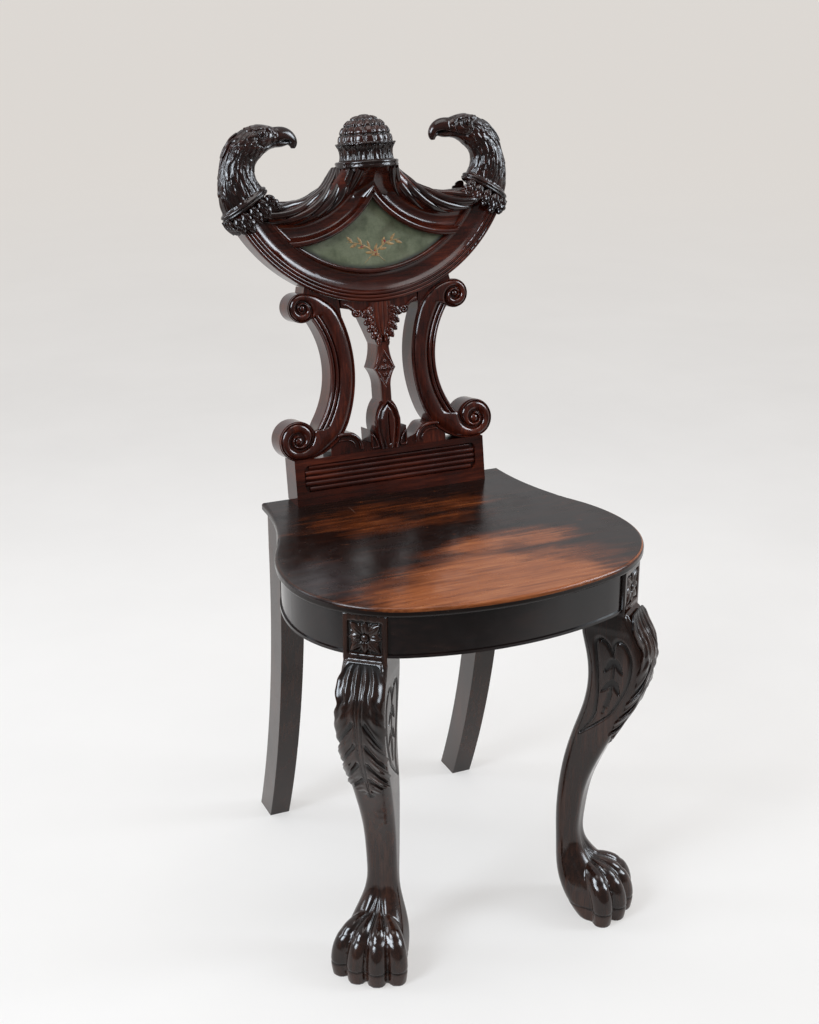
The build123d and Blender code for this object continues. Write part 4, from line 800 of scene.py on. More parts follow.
def beehive_finial():
    """Dome of notched ribs over a collar of upright leaves."""
    finial = carving_block("finial", "carved_finial", grain=0.8)
    points, normals = places(finial), outward(finial)
    x, rise, out = from_back(points)
    forward = out - FINIAL_DEPTH
    reach = np.hypot(x, forward)
    turn = np.arctan2(x, forward) / (2 * pi)
    lift = np.arctan2(rise - COLLAR_TOP, reach) / (pi / 2)

    column = np.mod(turn * DOME_COLUMNS, 1.0) - 0.5
    row = np.mod(lift * DOME_ROWS + 0.06, 1.0)
    narrow = np.cos(np.clip(lift, 0, 1) * pi / 2)
    rib = np.sqrt(np.clip(1 - (1.9 * column) ** 2, 0, 1))
    notch = hump(np.minimum(row, 1 - row), 0.0, 0.1) * step(0.12, 0.3, narrow)
    lobe = -1.6 * (1 - rib) * step(0.12, 0.4, narrow) - 1.3 * notch - 0.5 * (2 * row - 1) ** 2
    dome = step(COLLAR_TOP + 0.3, COLLAR_TOP + 1.2, rise) * np.where(reach > 1.5, 1, 0.5)

    up = np.clip((rise - RING_TOP) / (COLLAR_TOP - RING_TOP), 0, 1)
    leaves = np.maximum(upright_leaves(turn, up, 0.5, 0.94), 0.7 * upright_leaves(turn, up, 0.0, 1.0))
    leaves = np.maximum(leaves, 0.9 * step(0.9, 0.95, up))
    below_dome = 1 - step(COLLAR_TOP - 0.2, COLLAR_TOP + 0.4, rise)
    band = step(RING_TOP, RING_TOP + 0.8, rise) * below_dome * step(20, 24, reach)
    flare = 1.6 * step(0.55, 1.0, up) * step(-26.0, -8.0, forward)
    cut = dome * lobe + band * (FINIAL_LEAF_DEPTH * (leaves - 1) + flare)
    put(finial, points + normals * cut[:, None])
    # Painted shade: the hollow value darkens the gaps between the collar leaves and the notches between the
    # dome's ribs.
    between = band * (1 - step(0.1, 0.75, leaves)) * 0.9
    tinted(finial, "hollow", dome * step(0.9, 2.2, -lobe) * 0.8 + between)
    tinted(finial, "rubbed", dome * (1 - step(0.2, 0.8, -lobe)) * 0.4)
    smooth_shaded(finial, 75)
    settled(finial, carved_wood, "back_mahogany", "finial")


# Swags: distances from a swag's middle to its edges and to the hollow under it, and the neck under the finial
SWAG_TOP, SWAG_FOOT, SWAG_EDGE = 73.5, 95.0, -5.0
HOLLOW_FOOT = 113.0
NECK_FOOT, NECK_FOOT_RADIUS, NECK_SPREAD = 343.0, 17.0, 13.0 / 28.0
NECK_MIDDLE, NECK_HALF = 357.0, 14.4
DRAPE_FOOT, DRAPE_RADIUS = 336.0, 31.5
DRAPE_END = radians(246.0)
TABLET_FACE = -7.95


def drape(x, rise):
    """How far the swags, the hollows under them and the throat under the finial stand out of the back."""
    reach = np.hypot(x - SWAG_MIDDLE[0], rise - SWAG_MIDDLE[1])
    across = (reach - SWAG_TOP) / (SWAG_FOOT - SWAG_TOP)
    swag = SWAG_EDGE + 8.0 * (1 - (2 * across - 1) ** 2)
    dip = (reach - SWAG_FOOT) / (HOLLOW_FOOT - SWAG_FOOT)
    hollow = SWAG_EDGE + 3.0 * dip - 5.6 * np.clip(dip * (1 - dip) * 4, 0, 1) ** 0.8
    bead = (reach - HOLLOW_FOOT) / (LIP_FOOT - HOLLOW_FOOT)
    lip = -2.0 - 4.5 * bead + 2.6 * np.clip(bead * (1 - bead) * 4, 0, 1)
    flat = np.where(across < 1, swag, np.where(dip < 1, hollow, lip))
    throat = FINIAL_DEPTH + np.sqrt(np.clip(DRAPE_RADIUS**2 - x**2, 0, None))
    share = np.clip((rise - DRAPE_FOOT) / (RING_FOOT - DRAPE_FOOT), 0, 1) ** 1.6
    return flat + share * (throat + 0.35 * (flat - SWAG_EDGE) - flat)


def drape_way(x, rise):
    """The way that the drape faces."""
    small = 0.25
    slope_x = (drape(x + small, rise) - drape(x - small, rise)) / (2 * small)
    slope_up = (drape(x, rise + small) - drape(x, rise - small)) / (2 * small)
    return unit(walked(BACK_OUT, (-slope_x, BACK_RIGHT), (-slope_up, BACK_UP)))


def crest_board():
    """Crest whose plain neck is drawn in, with a throat of two drapes that rise to the finial's ring."""
    board = linked("carved_crest_board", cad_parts["crest_board"].data.copy())
    smooth_shaded(board, SOLID_EDGE)
    points = places(board)
    x, rise, out = from_back(points)
    neck_gap = np.hypot(x, out - FINIAL_DEPTH) - NECK_FOOT_RADIUS - (rise - NECK_FOOT) * NECK_SPREAD
    on_neck = (np.abs(neck_gap) < 0.6) & (np.abs(rise - NECK_MIDDLE) < NECK_HALF) & (out > FINIAL_DEPTH)
    put(board, points - np.outer(np.where(on_neck, 0.7 * (out - FINIAL_DEPTH), 0.0), BACK_OUT))
    settled(board, back_wood, "back_mahogany", "crest_board")

    reach = np.linspace(SWAG_TOP + 1.0, LIP_FOOT, 60)[:, None]
    at_ring = pi + np.arcsin((SWAG_MIDDLE[1] - RING_FOOT) / reach)
    at_middle = pi + np.arccos(np.minimum(SWAG_MIDDLE[0] / reach, 1.0))
    start = np.maximum(at_ring, at_middle)
    angle = start + (DRAPE_END - start) * np.linspace(0, 1, 46)[None, :]
    x, rise = round_from(SWAG_MIDDLE, reach, angle)
    out = drape(x, rise) - 0.5 * (1 - step(DRAPE_FOOT, DRAPE_FOOT + 8.0, rise))
    under = np.minimum(out - 3.0, -9.0)
    strips = [slab(on_back(side * x, rise, out), on_back(side * x, rise, under)) for side in (1, -1)]
    settled(gathered("crest_throat", strips), back_wood, "back_mahogany")


def painted_sprigs():
    """Two crossed sprigs with berries, painted on the tablet."""
    leaves, berries = [], []

    def stroke(line, half, heap):
        share = np.linspace(0, 1, len(line))
        width = half * np.sin(pi * np.clip(share, 0.02, 0.98)) ** 0.6
        thick = np.full(len(line), 0.25)
        heap.append(swept(on_back(*line.T, TABLET_FACE), BACK_OUT, width, thick, sides=10))

    for way in (1, -1):
        stem = smooth_line(((-13 * way, 266), (0, 277), (15 * way, 287), (33 * way, 291)), 40)
        stroke(stem, 0.7, leaves)
        for index, place in enumerate(range(10, 38, 4)):
            root = stem[place]
            run = unit(root - stem[place - 1])
            lean = radians(48 if index % 2 else -48)
            tip = np.array(((cos(lean), -sin(lean)), (sin(lean), cos(lean)))) @ run
            bend = root + 4.0 * tip + 0.6 * run
            end = root + 8.0 * tip + 2.4 * run
            stroke(smooth_line((root, bend, end), 12), 1.7, leaves)
            if index % 3 == 1:
                bead = root - 3.6 * tip + 1.5 * run
                stroke(np.linspace(bead - (1.7, 0), bead + (1.7, 0), 9), 1.6, berries)
    settled(gathered("painted_leaves", leaves), ochre_paint, "tablet_paint")
    settled(gathered("painted_berries", berries), red_paint, "tablet_paint")


# Strands of a swag: first and last start, step between them and reach of each half in degrees, and end depth
STRAND_STARTS, STRAND_PITCH, STRAND_REACH, STRAND_DEPTH = (150.0, 346.0), 20.0, 60.0, 25.0
STRAND_HALF_WIDTH, STRAND_HEIGHT = 4.3, 4.2
STRAND_STOP = -9.0


def swag_strands():
    """Twisted strands of each swag, from the finial's ring round its top edge and out to the eagle collar."""
    strips = []
    share = np.linspace(-1.0, 1.0, 110)
    over_edge = step(0.16, -0.16, share)[:, None]
    ends = np.clip((share + 1) / 0.2, 0.04, 1) ** 0.5 * np.clip((1 - share) / 0.28, 0.04, 1) ** 0.6
    reach = SWAG_TOP + (SWAG_FOOT - SWAG_TOP + 0.5) * np.clip(share, 0, 1)
    for start in np.arange(*STRAND_STARTS, STRAND_PITCH):
        angle = np.radians(start + STRAND_REACH * share)
        x, rise = round_from(SWAG_MIDDLE, reach, angle)
        out = drape(x, rise) + STRAND_DEPTH * np.clip(share, -1, 0)
        inward = walked(np.zeros(3), (-np.cos(angle), BACK_RIGHT), (-np.sin(angle), BACK_UP))
        way = unit(drape_way(x, rise) * (1 - over_edge) + inward * over_edge)
        past_collar = np.where(x < 100.0, -99.0, over_collar(x, rise))
        kept = (rise < RING_FOOT + 1.0) & (x > 3.0) & (past_collar < STRAND_STOP)
        if kept.sum() < 12:
            continue
        thin = (ends * np.clip((STRAND_STOP - past_collar) / 12.0, 0.04, 1) ** 0.5)[kept]
        spine = eased(on_back(x, rise, out - 0.6)[kept], 4)
        strips.append(swept(spine, way[kept], STRAND_HALF_WIDTH * thin, STRAND_HEIGHT * thin, sides=14))
    settled_pair(gathered("swag_strands_right", strips), carved_wood, "back_mahogany")


# Leaves under an eagle collar: place along it, length, half width and fan in degrees
COLLAR_LEAVES = (
    (-22, 21, 6.6, -8),
    (-11, 25, 7.4, -3),
    (0, 22, 6.8, 0),
    (11, 25, 7.4, 3),
    (21, 21, 6.4, 5),
)
COLLAR_BACK, COLLAR_EDGE = -31.0, 27.5
EDGE_LEAF_DEPTHS = (-6.0, -16.0, -26.0)


def collar_leaves():
    """Ragged leaves that fall from each eagle collar, over the front, the back and the edge of the crest."""
    strips = []
    down = np.array((-cos(COLLAR_TURN), -sin(COLLAR_TURN)))
    line = np.array((sin(COLLAR_TURN), -cos(COLLAR_TURN)))
    share = np.linspace(0, 1, 22)
    taper = np.sqrt(np.clip(1 - share**3, 0, 1))
    lift = 1.2 + 2.6 * np.sin(share * pi * 0.85) + 3.0 * np.clip(share - 0.7, 0, 1)
    for out, facing in ((lift, BACK_OUT), (COLLAR_BACK - 0.6 * lift, -BACK_OUT)):
        for place, length, half, fan in COLLAR_LEAVES:
            turn = COLLAR_TURN + radians(fan)
            fall = np.outer(share * length - 1.0, (-cos(turn), -sin(turn)))
            flat = COLLAR_MIDDLE + line * place + fall
            widths = half * taper * (0.6 + 0.4 * np.sin(pi * np.clip(share * 1.2, 0, 1)))
            strips.append(carved_leaf(on_back(*flat.T, out), facing, widths, thick=2.6, arch=2.0, vein=0.9))
    facing = BACK_RIGHT * line[0] + BACK_UP * line[1]
    lift = 0.5 + 1.6 * np.sin(share * pi) - 3.0 * share
    flat = COLLAR_MIDDLE + line * COLLAR_EDGE + np.outer(share * 19 - 1.0, down) + np.outer(lift, line)
    widths = 5.4 * taper * (0.6 + 0.4 * np.sin(pi * share))
    for deep in EDGE_LEAF_DEPTHS:
        strips.append(carved_leaf(on_back(*flat.T, deep), facing, widths, thick=2.0, arch=1.6, vein=0.7))
    settled_pair(gathered("collar_leaves_right", strips), carved_wood, "back_mahogany")


beehive_finial()
crest_board()
painted_sprigs()
swag_strands()
collar_leaves()


# Front legs: height, front, back, width and corner radius of the right leg's sections
LEG_SECTIONS = np.array((
    (379, 8, -47, 47, 5),
    (362, 12, -47.5, 48, 6),
    (345, 21, -46, 49, 8),
    (326, 25, -41.5, 50, 9),
    (298, 21, -39, 49, 9),
    (268, 10.5, -43, 47, 9),
    (235, -6.5, -53, 44, 9),
    (200, -23, -63, 40, 9),
    (160, -38, -70, 36, 9),
))
BLOCK_MIDDLE = 404.0

# Knee leaf: its ends, its leaflets on a side, and its half widths at shares of its length
LEAF_TOP, LEAF_TIP = 379.5, 215.0
LEAFLETS = 6.0
LEAF_SHARES = (0, 0.03, 0.08, 0.14, 0.24, 0.5, 0.7, 0.86, 1.0)
LEAF_HALVES = (14, 19, 23, 26, 27.5, 27, 24, 16, 3.0)
LEAF_THICK, LEAF_UNDER = 3.0, 1.2

# Rosette: half of its square, its floor and its button
ROSETTE_HALF, ROSETTE_FLOOR, ROSETTE_BACK = 17.7, -2.45, -3.5
BUTTON = 4.2

# Petals, narrow and then broad: first angle, lengths in turn, half width and swell
PETAL_ROOT = 3.0
PETALS = (
    (22.5, (17.0, 17.0), 3.2, 1.9),
    (0.0, (17.4, 22.0), 5.0, 3.3),
)

# Incised heart on a leg's side: half of its outline, as places off the leg's middle line and heights
HEART = (
    (0, 335),
    (4, 345),
    (10, 349.5),
    (16, 346),
    (19, 335),
    (19, 320),
    (17, 302),
    (13.5, 284),
    (9, 264),
    (4, 246),
    (0, 231),
)
HEART_TIP, HEART_BEND = 231.0, 262.0
HEART_DEPTH = 1.9

# Paw: where the toes spring from, and the clefts between them in degrees
TOE_ROOT = -47.0
TOE_GAPS = (-24.0, 0.0, 24.0)
TENDON_DEPTH, NAIL_DEPTH = 1.6, 0.9


def leg_section(height):
    """Front, back, width and corner radius of the leg at given heights."""
    rows = smooth_line(LEG_SECTIONS[::-1], 400)
    return [np.interp(height, rows[:, 0], rows[:, column]) for column in (1, 2, 3, 4)]


def around_leg(height, arc):
    """Place and facing on the leg for a length walked round its section from the middle of the front."""
    front, _, width, corner = leg_section(height)
    flat = width / 2 - corner
    walk = np.abs(arc)
    bend = np.clip((walk - flat) / corner, 0, pi / 2)
    past = np.clip(walk - flat - corner * pi / 2, 0, None)
    across = np.sign(arc) * np.where(walk < flat, walk, flat + corner * np.sin(bend))
    reach = front - corner * (1 - np.cos(bend)) - past
    facing = walked(np.zeros(3), (np.cos(bend), LEG_OUT), (np.sign(arc) * np.sin(bend), LEG_ACROSS))
    return on_leg(reach, across, height), facing


def slab_with_painted_shade(name, top, bottom, hollow):
    """Slab whose face keeps how deep its carving lies, as painted shade in its cuts, with a back painted dark
    as shade.
    """
    piece = meshed(name, *slab(top, bottom))
    # Deeper places of the face and the whole back get painted shade.
    tinted(piece, "hollow", np.concatenate((hollow.ravel(), np.ones(hollow.size))))
    smooth_shaded(piece, 70)
    return piece


def knee_leaf():
    """Acanthus over the knee: fluted top, stem, and leaflets that sweep down to a toothed edge."""
    u = np.linspace(0, 1, 240)[:, None]
    v = np.linspace(-1, 1, 93)[None, :]
    side = np.abs(v)
    plan = np.interp(u, LEAF_SHARES, LEAF_HALVES)
    leaflet = np.mod(LEAFLETS * u + 0.1, 1.0)
    tooth = np.abs(np.cos(pi * leaflet))
    finger = np.abs(np.cos(3 * pi * leaflet))
    edge = 1 - step(0.04, 0.14, u) * (0.13 * tooth**3 + 0.06 * finger**2)
    sag = plan * 1.35 * side**1.25 * step(0.0, 0.35, u) * (1 - 0.8 * step(0.62, 1.0, u))
    height = LEAF_TOP - (LEAF_TOP - LEAF_TIP) * u - sag
    surface, facing = around_leg(height, v * plan * edge)

    stem = 0.17 * (1 - 0.7 * u)
    top_share = 1 - step(0.1, 0.34, u)
    flutes = np.cos(2.5 * pi * v) ** 2 * top_share
    leafy = step(0.06, 0.3, u) * step(stem, stem + 0.22, side)
    valley = tooth**6 * leafy
    fingers = finger**2 * leafy * step(0.2, 0.6, side)
    eye = tooth**10 * hump(side, stem + 0.16, 0.08) * step(0.15, 0.3, u)
    spine = -1.3 * hump(side, stem, 0.035) - 0.7 * hump(side, 0.0, 0.4 * stem)
    roll = 1.6 * hump(height, 352.0, 18.0)
    cuts = 2.3 * flutes + 2.3 * valley + 1.1 * fingers + 1.4 * eye
    ends = (0.2 + 0.8 * step(0.0, 0.1, u)) * (1 - 0.3 * step(0.85, 1.0, u))
    relief = np.maximum((LEAF_THICK + roll + spine * (1 - 0.6 * top_share) - cuts) * ends, 0.4)
    top = surface + facing * relief[..., None]
    # Painted shade: the lower the leaf's relief, the darker its face, and its back is painted dark.
    return slab_with_painted_shade("knee_leaf_right", top, surface - facing * LEAF_UNDER, (2.5 - relief) / 1.9)


def rosette():
    """Square flower in the leg block: eight broad petals, eight narrow ones between, and a button."""
    line = np.linspace(-ROSETTE_HALF, ROSETTE_HALF, 85)
    across, up = np.meshgrid(line, line)
    height = np.full(across.shape, ROSETTE_FLOOR)
    for first, lengths, half, swell in PETALS:
        for index in range(8):
            angle = radians(first + 45 * index)
            along = across * cos(angle) + up * sin(angle)
            aside = -across * sin(angle) + up * cos(angle)
            share = np.clip((along - PETAL_ROOT) / (lengths[index % 2] - PETAL_ROOT), 0, 1)
            half_width = half * np.sin(pi * share**0.75) ** 0.7 + 1e-3
            inside = (np.abs(aside) < half_width) & (share > 0) & (share < 1)
            arch = 1 - 0.65 * (aside / half_width) ** 2 - 0.5 * hump(aside, 0.0, 0.7) * (1 - share)
            petal = -2.3 + swell * arch * (0.55 + 0.45 * np.sin(pi * share))
            height = np.where(inside, np.maximum(height, petal), height)
    reach = np.hypot(across, up)
    button = -1.0 + 3.2 * np.sqrt(np.clip(1 - (reach / BUTTON) ** 2, 0, 1))
    height = np.where(reach < BUTTON, np.maximum(height, button), height)
    height = np.where((reach > BUTTON) & (reach < BUTTON + 1.0), np.minimum(height, -1.6), height)
    top = on_leg(height, across, BLOCK_MIDDLE + up)
    # Painted shade: the deeper the face lies, the darker it is, and the back is painted dark.
    return slab_with_painted_shade("rosette_right", top, on_leg(ROSETTE_BACK, across, BLOCK_MIDDLE + up), -0.9 - height)


def side_carving(offset, height):
    """Share of the cut for the heart and its sprig, by place off the leg's middle line and height."""
    bend = np.clip((HEART_BEND - height) / (HEART_BEND - HEART_TIP), 0, 1.2)
    offset = offset + 12.0 * bend**1.5
    heart = hump(path_distance(np.abs(offset), height, smooth_line(HEART, 40)), 0.0, 1.7)
    sprig = hump(segment_distance(offset, height, (0, 338), (0, 262))[0], 0.0, 1.3)
    sprig = np.maximum(sprig, step(3.4, 1.8, segment_distance(offset, height, (0, 286), (0, 270))[0]))
    for root in (328.0, 303.0):
        gap, share = segment_distance(np.abs(offset), height, (0.5, root), (10.0, root - 16.0))
        sprig = np.maximum(sprig, step(0.6, -0.6, gap - 7.0 * np.sqrt(share) * (1.02 - share) - 0.5))
    return np.maximum(heart, 0.85 * sprig)


def carved_leg():
    """Leg with incised hearts on its sides, tendons over the paw and blunt nails."""
    leg = carving_block("front_leg_right", "carved_front_leg_right", grain=1.15)
    points = places(leg)
    out, across, height = from_leg(points)
    front, back, width, corner = leg_section(height)
    bend = np.clip(np.abs(across) - (width / 2 - corner), 0, corner)
    rounded = front - corner + np.sqrt(corner**2 - bend**2)
    bare = np.where((height > 226) & (height < 378.5), rounded, 99.0)
    in_panel = (np.abs(across) < 17.6) & (np.abs(height - BLOCK_MIDDLE) < 17.6)
    bare = np.where(in_panel, -2.5, bare)
    put(leg, points + np.outer(np.minimum(out, bare) - out, LEG_OUT))

    points, normals = places(leg), outward(leg)
    out, across, height = from_leg(points)
    on_side = step(0.86, 0.96, np.abs(normals @ LEG_ACROSS))
    on_side = on_side * step(225.0, 230.0, height) * (1 - step(368.0, 371.0, height))
    cut = -HEART_DEPTH * on_side * side_carving(out - (front + back) / 2, height)

    forward = out - TOE_ROOT
    turn = np.arctan2(across, forward)
    reach = np.hypot(across, forward)
    cleft = np.max([hump((turn - radians(gap)) * reach, 0.0, 2.2) for gap in TOE_GAPS], axis=0)
    paw = step(50.0, 62.0, height) * (1 - step(96.0, 124.0, height)) * step(0.0, 12.0, forward)
    on_toes = step(20.0, 32.0, reach)
    upright = step(0.2, 0.5, np.hypot(normals[:, 0], normals[:, 1]))
    tendon = -TENDON_DEPTH * paw * cleft
    nail = -NAIL_DEPTH * hump(height, 16.5, 1.1) * on_toes * upright
    knuckle = -NAIL_DEPTH * hump(height, 50.0, 3.0) * on_toes * (1 - cleft) * step(-20.0, -5.0, out)
    put(leg, points + normals * (cut + tendon + nail + knuckle)[:, None])
    # Painted shade in the heart and sprig cuts, the clefts of the paw and the nail grooves.
    tinted(leg, "hollow", np.clip(-cut / 1.5, 0, 1) + 0.8 * paw * cleft - nail)
    tinted(leg, "rubbed", 0.4 * (1 - step(12.0, 17.0, height)) * upright)
    smooth_shaded(leg, 40)
    return leg


leg, leaf, flower = carved_leg(), knee_leaf(), rosette()
settled_pair(leg, leg_wood, "leg_mahogany", "front_leg")
settled_pair(leaf, leg_wood, "leg_mahogany")
settled_pair(flower, leg_wood, "leg_mahogany")


# Scroll uprights: middle and radius of the arcs of the right one's outline, along and up the back
CONVEX = ((193.5, 150.0), 158.0)
CONCAVE = ((171.5, 150.0), 106.0)
SCROLL_FOOT = ((104.6, 114.1), 62.1)
SCROLL_HEAD = ((92.0, 191.0), 48.5)
EDGE_INSET = -0.3

# Volutes: middle, radius, angle where the coil starts and the way that it turns
LOW_VOLUTE = ((110.5, 74.5), 22.5, 152.0, 1)
HIGH_VOLUTE = ((94.0, 223.0), 16.5, 230.0, -1)
VOLUTE_EYE = 0.235

# Degrees round a volute from the end of the hollow edge, and a coil's edges there as shares of the radius
COIL_INNER = (
    (0, 1.0),
    (30, 0.8),
    (75, 0.6),
    (120, 0.52),
    (210, 0.47),
    (300, 0.42),
    (360, 0.38),
    (435, 0.28),
    (480, 0.25),
    (660, 0.24),
)
COIL_OUTER = (
    (120, 0.985),
    (300, 0.985),
    (360, 0.9),
    (390, 0.71),
    (435, 0.51),
    (480, 0.43),
    (570, 0.38),
    (660, 0.35),
)
COIL_END = 660

# Mouldings stand on a face that is sunk by their height; their undersides lie a little lower
MOULDING = 4.4
MOULDING_FLOOR = -MOULDING - 0.3
BEAD_ZONE, BEAD_WIDTH, BEAD_HEIGHT = 10.2, 4.5, 3.6
BEAD_INSETS = (0.4, 5.3)
FILLET_SHARE, FILLET_HEIGHT = 0.13, 3.0


def arc_line(arc, off, start, end, count=40):
    """Points at an offset from an arc, between two angles in degrees."""
    middle, radius = arc
    return np.stack(round_from(middle, radius + off, np.radians(np.linspace(start, end, count))), axis=1)


def coil_edge(table, volute, first, last):
    """One edge of a volute's coil, between two turns in degrees from where it starts."""
    middle, radius, start, direction = volute
    turn = np.linspace(first, last, int(abs(last - first) / 5) + 2)
    reach = radius * np.interp(turn, *zip(*table))
    return np.stack(round_from(middle, reach, np.radians(start + direction * turn)), axis=1)


def spread_evenly(line, count):
    """The same line with evenly spaced points."""
    passed = np.concatenate(([0], np.cumsum(np.hypot(*np.diff(line, axis=0).T))))
    spaced = np.linspace(0, passed[-1], count)
    return np.stack([np.interp(spaced, passed, line[:, axis]) for axis in (0, 1)], axis=1)


def joined(parts):
    """Edge through several lines that follow each other, with its kinks smoothed out."""
    spaced = [spread_evenly(part, 90)[min(index, 1) :] for index, part in enumerate(parts)]
    return eased(np.vstack(spaced))


def moulded_strip(left, right, profile):
    """Strip between two edges on the back, whose height across follows a profile, with a flat underside."""
    across = np.linspace(0, 1, len(profile))[None, :, None]
    flat = left[:, None, :] * (1 - across) + right[:, None, :] * across
    x, rise = flat[..., 0], flat[..., 1]
    return slab(on_back(x, rise, profile), on_back(x, rise, MOULDING_FLOOR))


def half_round(share, height=MOULDING, power=2.2):
    """Height across a rounded moulding that stands on the sunk face."""
    return -MOULDING + height * np.sqrt(np.clip(1 - np.abs(2 * share - 1) ** power, 0, 1))


def scroll_upright():
    """C-scroll: a broad rounded face that coils into the volutes, fine beads along its hollow edge."""
    body = sunk_copy("scroll_upright_right", "scroll_body_right", MOULDING)
    settled_pair(body, upright_wood, "back_mahogany", "scroll_upright")

    outer = (
        coil_edge(COIL_OUTER, HIGH_VOLUTE, COIL_END, 140),
        np.vstack((arc_line(SCROLL_HEAD, EDGE_INSET, 90, 157), arc_line(CONVEX, EDGE_INSET, 158.5, 180))),
        np.vstack((arc_line(CONVEX, EDGE_INSET, 180, 201.5), arc_line(SCROLL_FOOT, EDGE_INSET, 203, 272))),
        coil_edge(COIL_OUTER, LOW_VOLUTE, 120, COIL_END),
    )
    inner = (
        coil_edge(COIL_INNER, HIGH_VOLUTE, COIL_END, 140),
        np.vstack((coil_edge(COIL_INNER, HIGH_VOLUTE, 140, 0), arc_line(CONCAVE, BEAD_ZONE, 147, 180))),
        np.vstack((arc_line(CONCAVE, BEAD_ZONE, 180, 213), coil_edge(COIL_INNER, LOW_VOLUTE, 0, 120))),
        coil_edge(COIL_INNER, LOW_VOLUTE, 120, COIL_END),
    )
    share = np.linspace(0, 1, 25)
    fillet = half_round(share / FILLET_SHARE, FILLET_HEIGHT)
    broad = half_round((share - FILLET_SHARE) / (1 - FILLET_SHARE))
    strips = [moulded_strip(joined(outer), joined(inner), np.where(share < FILLET_SHARE, fillet, broad))]
    bead = half_round(np.linspace(0, 1, 9), BEAD_HEIGHT, 2.0)
    for inset in BEAD_INSETS:
        near = arc_line(CONCAVE, inset, 145.5, 217.0, 90)
        far = arc_line(CONCAVE, inset + BEAD_WIDTH, 146.5, 215.5, 90)
        strips.append(moulded_strip(far, near, bead))
    rings = np.linspace(0, 1, 9)[:, None]
    turn = np.linspace(0, 2 * pi, 33)
    dome = -MOULDING + (MOULDING - 0.4) * np.sqrt(1 - rings**2 * 0.98)
    for middle, radius, *_ in (LOW_VOLUTE, HIGH_VOLUTE):
        x, rise = round_from(middle, VOLUTE_EYE * radius * rings, turn)
        strips.append(slab(on_back(x, rise, dome), on_back(x, rise, MOULDING_FLOOR)))
    settled_pair(gathered("scroll_moulding_right", strips), upright_wood, "back_mahogany")


# Splat: depth of its sunk face, and places of the husk, the lozenge and the lotus up the back
SPLAT_SINK = 3.6
SPLAT_FLOOR = -SPLAT_SINK - 0.3
HUSK_TOP, HUSK_POINT, HUSK_HALF = 222.0, 183.0, 13.5
STEM_TOP, STEM_FOOT = 176.0, 106.5
LOZENGE_MIDDLE, LOZENGE_HALF_RISE, LOZENGE_HALF = 146.5, 19.0, 11.0
LOTUS_FOOT, LOTUS_TIP = 53.3, 109.5

# Florets in the lozenge: place along and up the back, and size
FLORETS = (
    (0, 146.5, 3.4),
    (5.2, 146.5, 2.6),
    (-5.2, 146.5, 2.6),
    (0, 154.5, 2.7),
    (0, 138.5, 2.7),
)

# Lotus bud: its half widths at shares of its height, and the width of its rim
BUD_SHARES = (0, 0.2, 0.42, 0.6, 0.78, 0.9, 1.0)
BUD_HALVES = (10.6, 13.2, 15.2, 15.4, 12.2, 7.2, 0.8)
BUD_RIM = 3.6

# Leaves beside the husk on the right: start, end and half width
HUSK_LEAVES = (
    ((9.0, 216.0), (24.5, 206.5), 5.2),
    ((9.5, 208.5), (21.0, 197.0), 5.0),
    ((8.5, 200.5), (17.5, 188.5), 4.6),
    ((6.5, 193.5), (12.8, 180.5), 4.2),
    ((2.8, 188.0), (6.2, 172.0), 3.8),
)


def splat_grid(half, rise, columns):
    """Share across, place along and place up of a shape that is the same on both sides of the splat."""
    share = np.broadcast_to(np.linspace(-1, 1, columns), (len(half), columns))
    return share, share * half[:, None], np.broadcast_to(rise[:, None], share.shape)


def on_splat(x, rise, height):
    """Closed piece that stands on the sunk face of the splat."""
    return slab(on_back(x, rise, height), on_back(x, rise, SPLAT_FLOOR))


def husk():
    """Ribs that run together at the point of the husk, in a raised rim."""
    down = np.linspace(0.0, 1.0, 60)
    half = HUSK_HALF * np.sqrt(np.clip(1.004 - down**2.4, 0, 1))
    share, x, rise = splat_grid(half, HUSK_TOP - (HUSK_TOP - HUSK_POINT) * down, 41)
    side = np.abs(share)
    ribs = np.abs(np.cos(side * pi * 2.25)) ** 0.7
    swell = (1 - 0.35 * side**2) * (3.6 + 2.0 * ribs) * np.clip(1 - side**12, 0, 1)
    return on_splat(x, rise, -SPLAT_SINK + swell + 0.4 * step(0.84, 0.9, side))


def stem_half(rise):
    """Half width of the splat between the husk and the lotus."""
    upper = 7.0 + 61.4 - np.sqrt(61.4**2 - np.clip(173.5 - rise, 0, 27.5) ** 2)
    lower = 6.0 + 33.1 - np.sqrt(33.1**2 - np.clip(rise - 125.0, 0, 21.0) ** 2)
    return np.where(rise > 146.0, upper, lower)


def stem():
    """Flat face with rounded edges, sunk inside the lozenge for its florets."""
    line = np.linspace(STEM_TOP, STEM_FOOT, 170)
    share, x, rise = splat_grid(stem_half(line) - 0.15, line, 61)
    room = (1 - np.abs(share)) * stem_half(rise)
    edge = -1.6 * (1 - np.sqrt(np.clip(1 - (1 - np.clip(room / 2.0, 0, 1)) ** 2, 0, 1)))
    lozenge = np.abs(rise - LOZENGE_MIDDLE) / LOZENGE_HALF_RISE + np.abs(x) / LOZENGE_HALF
    sunk = -1.7 * (1 - step(0.86, 0.96, lozenge)) - 0.5 * hump(lozenge, 1.12, 0.05)
    florets = np.zeros_like(x)
    for place_x, place_rise, size in FLORETS:
        reach = np.hypot(x - place_x, rise - place_rise)
        turn = np.arctan2(rise - place_rise, x - place_x)
        petal = size * (0.7 + 0.3 * np.abs(np.cos(2.5 * turn)))
        dome = np.sqrt(np.clip(1 - (reach / petal) ** 2, 0, 1)) - 0.7 * hump(reach, 0.0, 0.22 * size)
        florets = np.maximum(florets, np.where(reach < petal, 2.1 * dome, 0))
    return on_splat(x, rise, edge + sunk + florets)


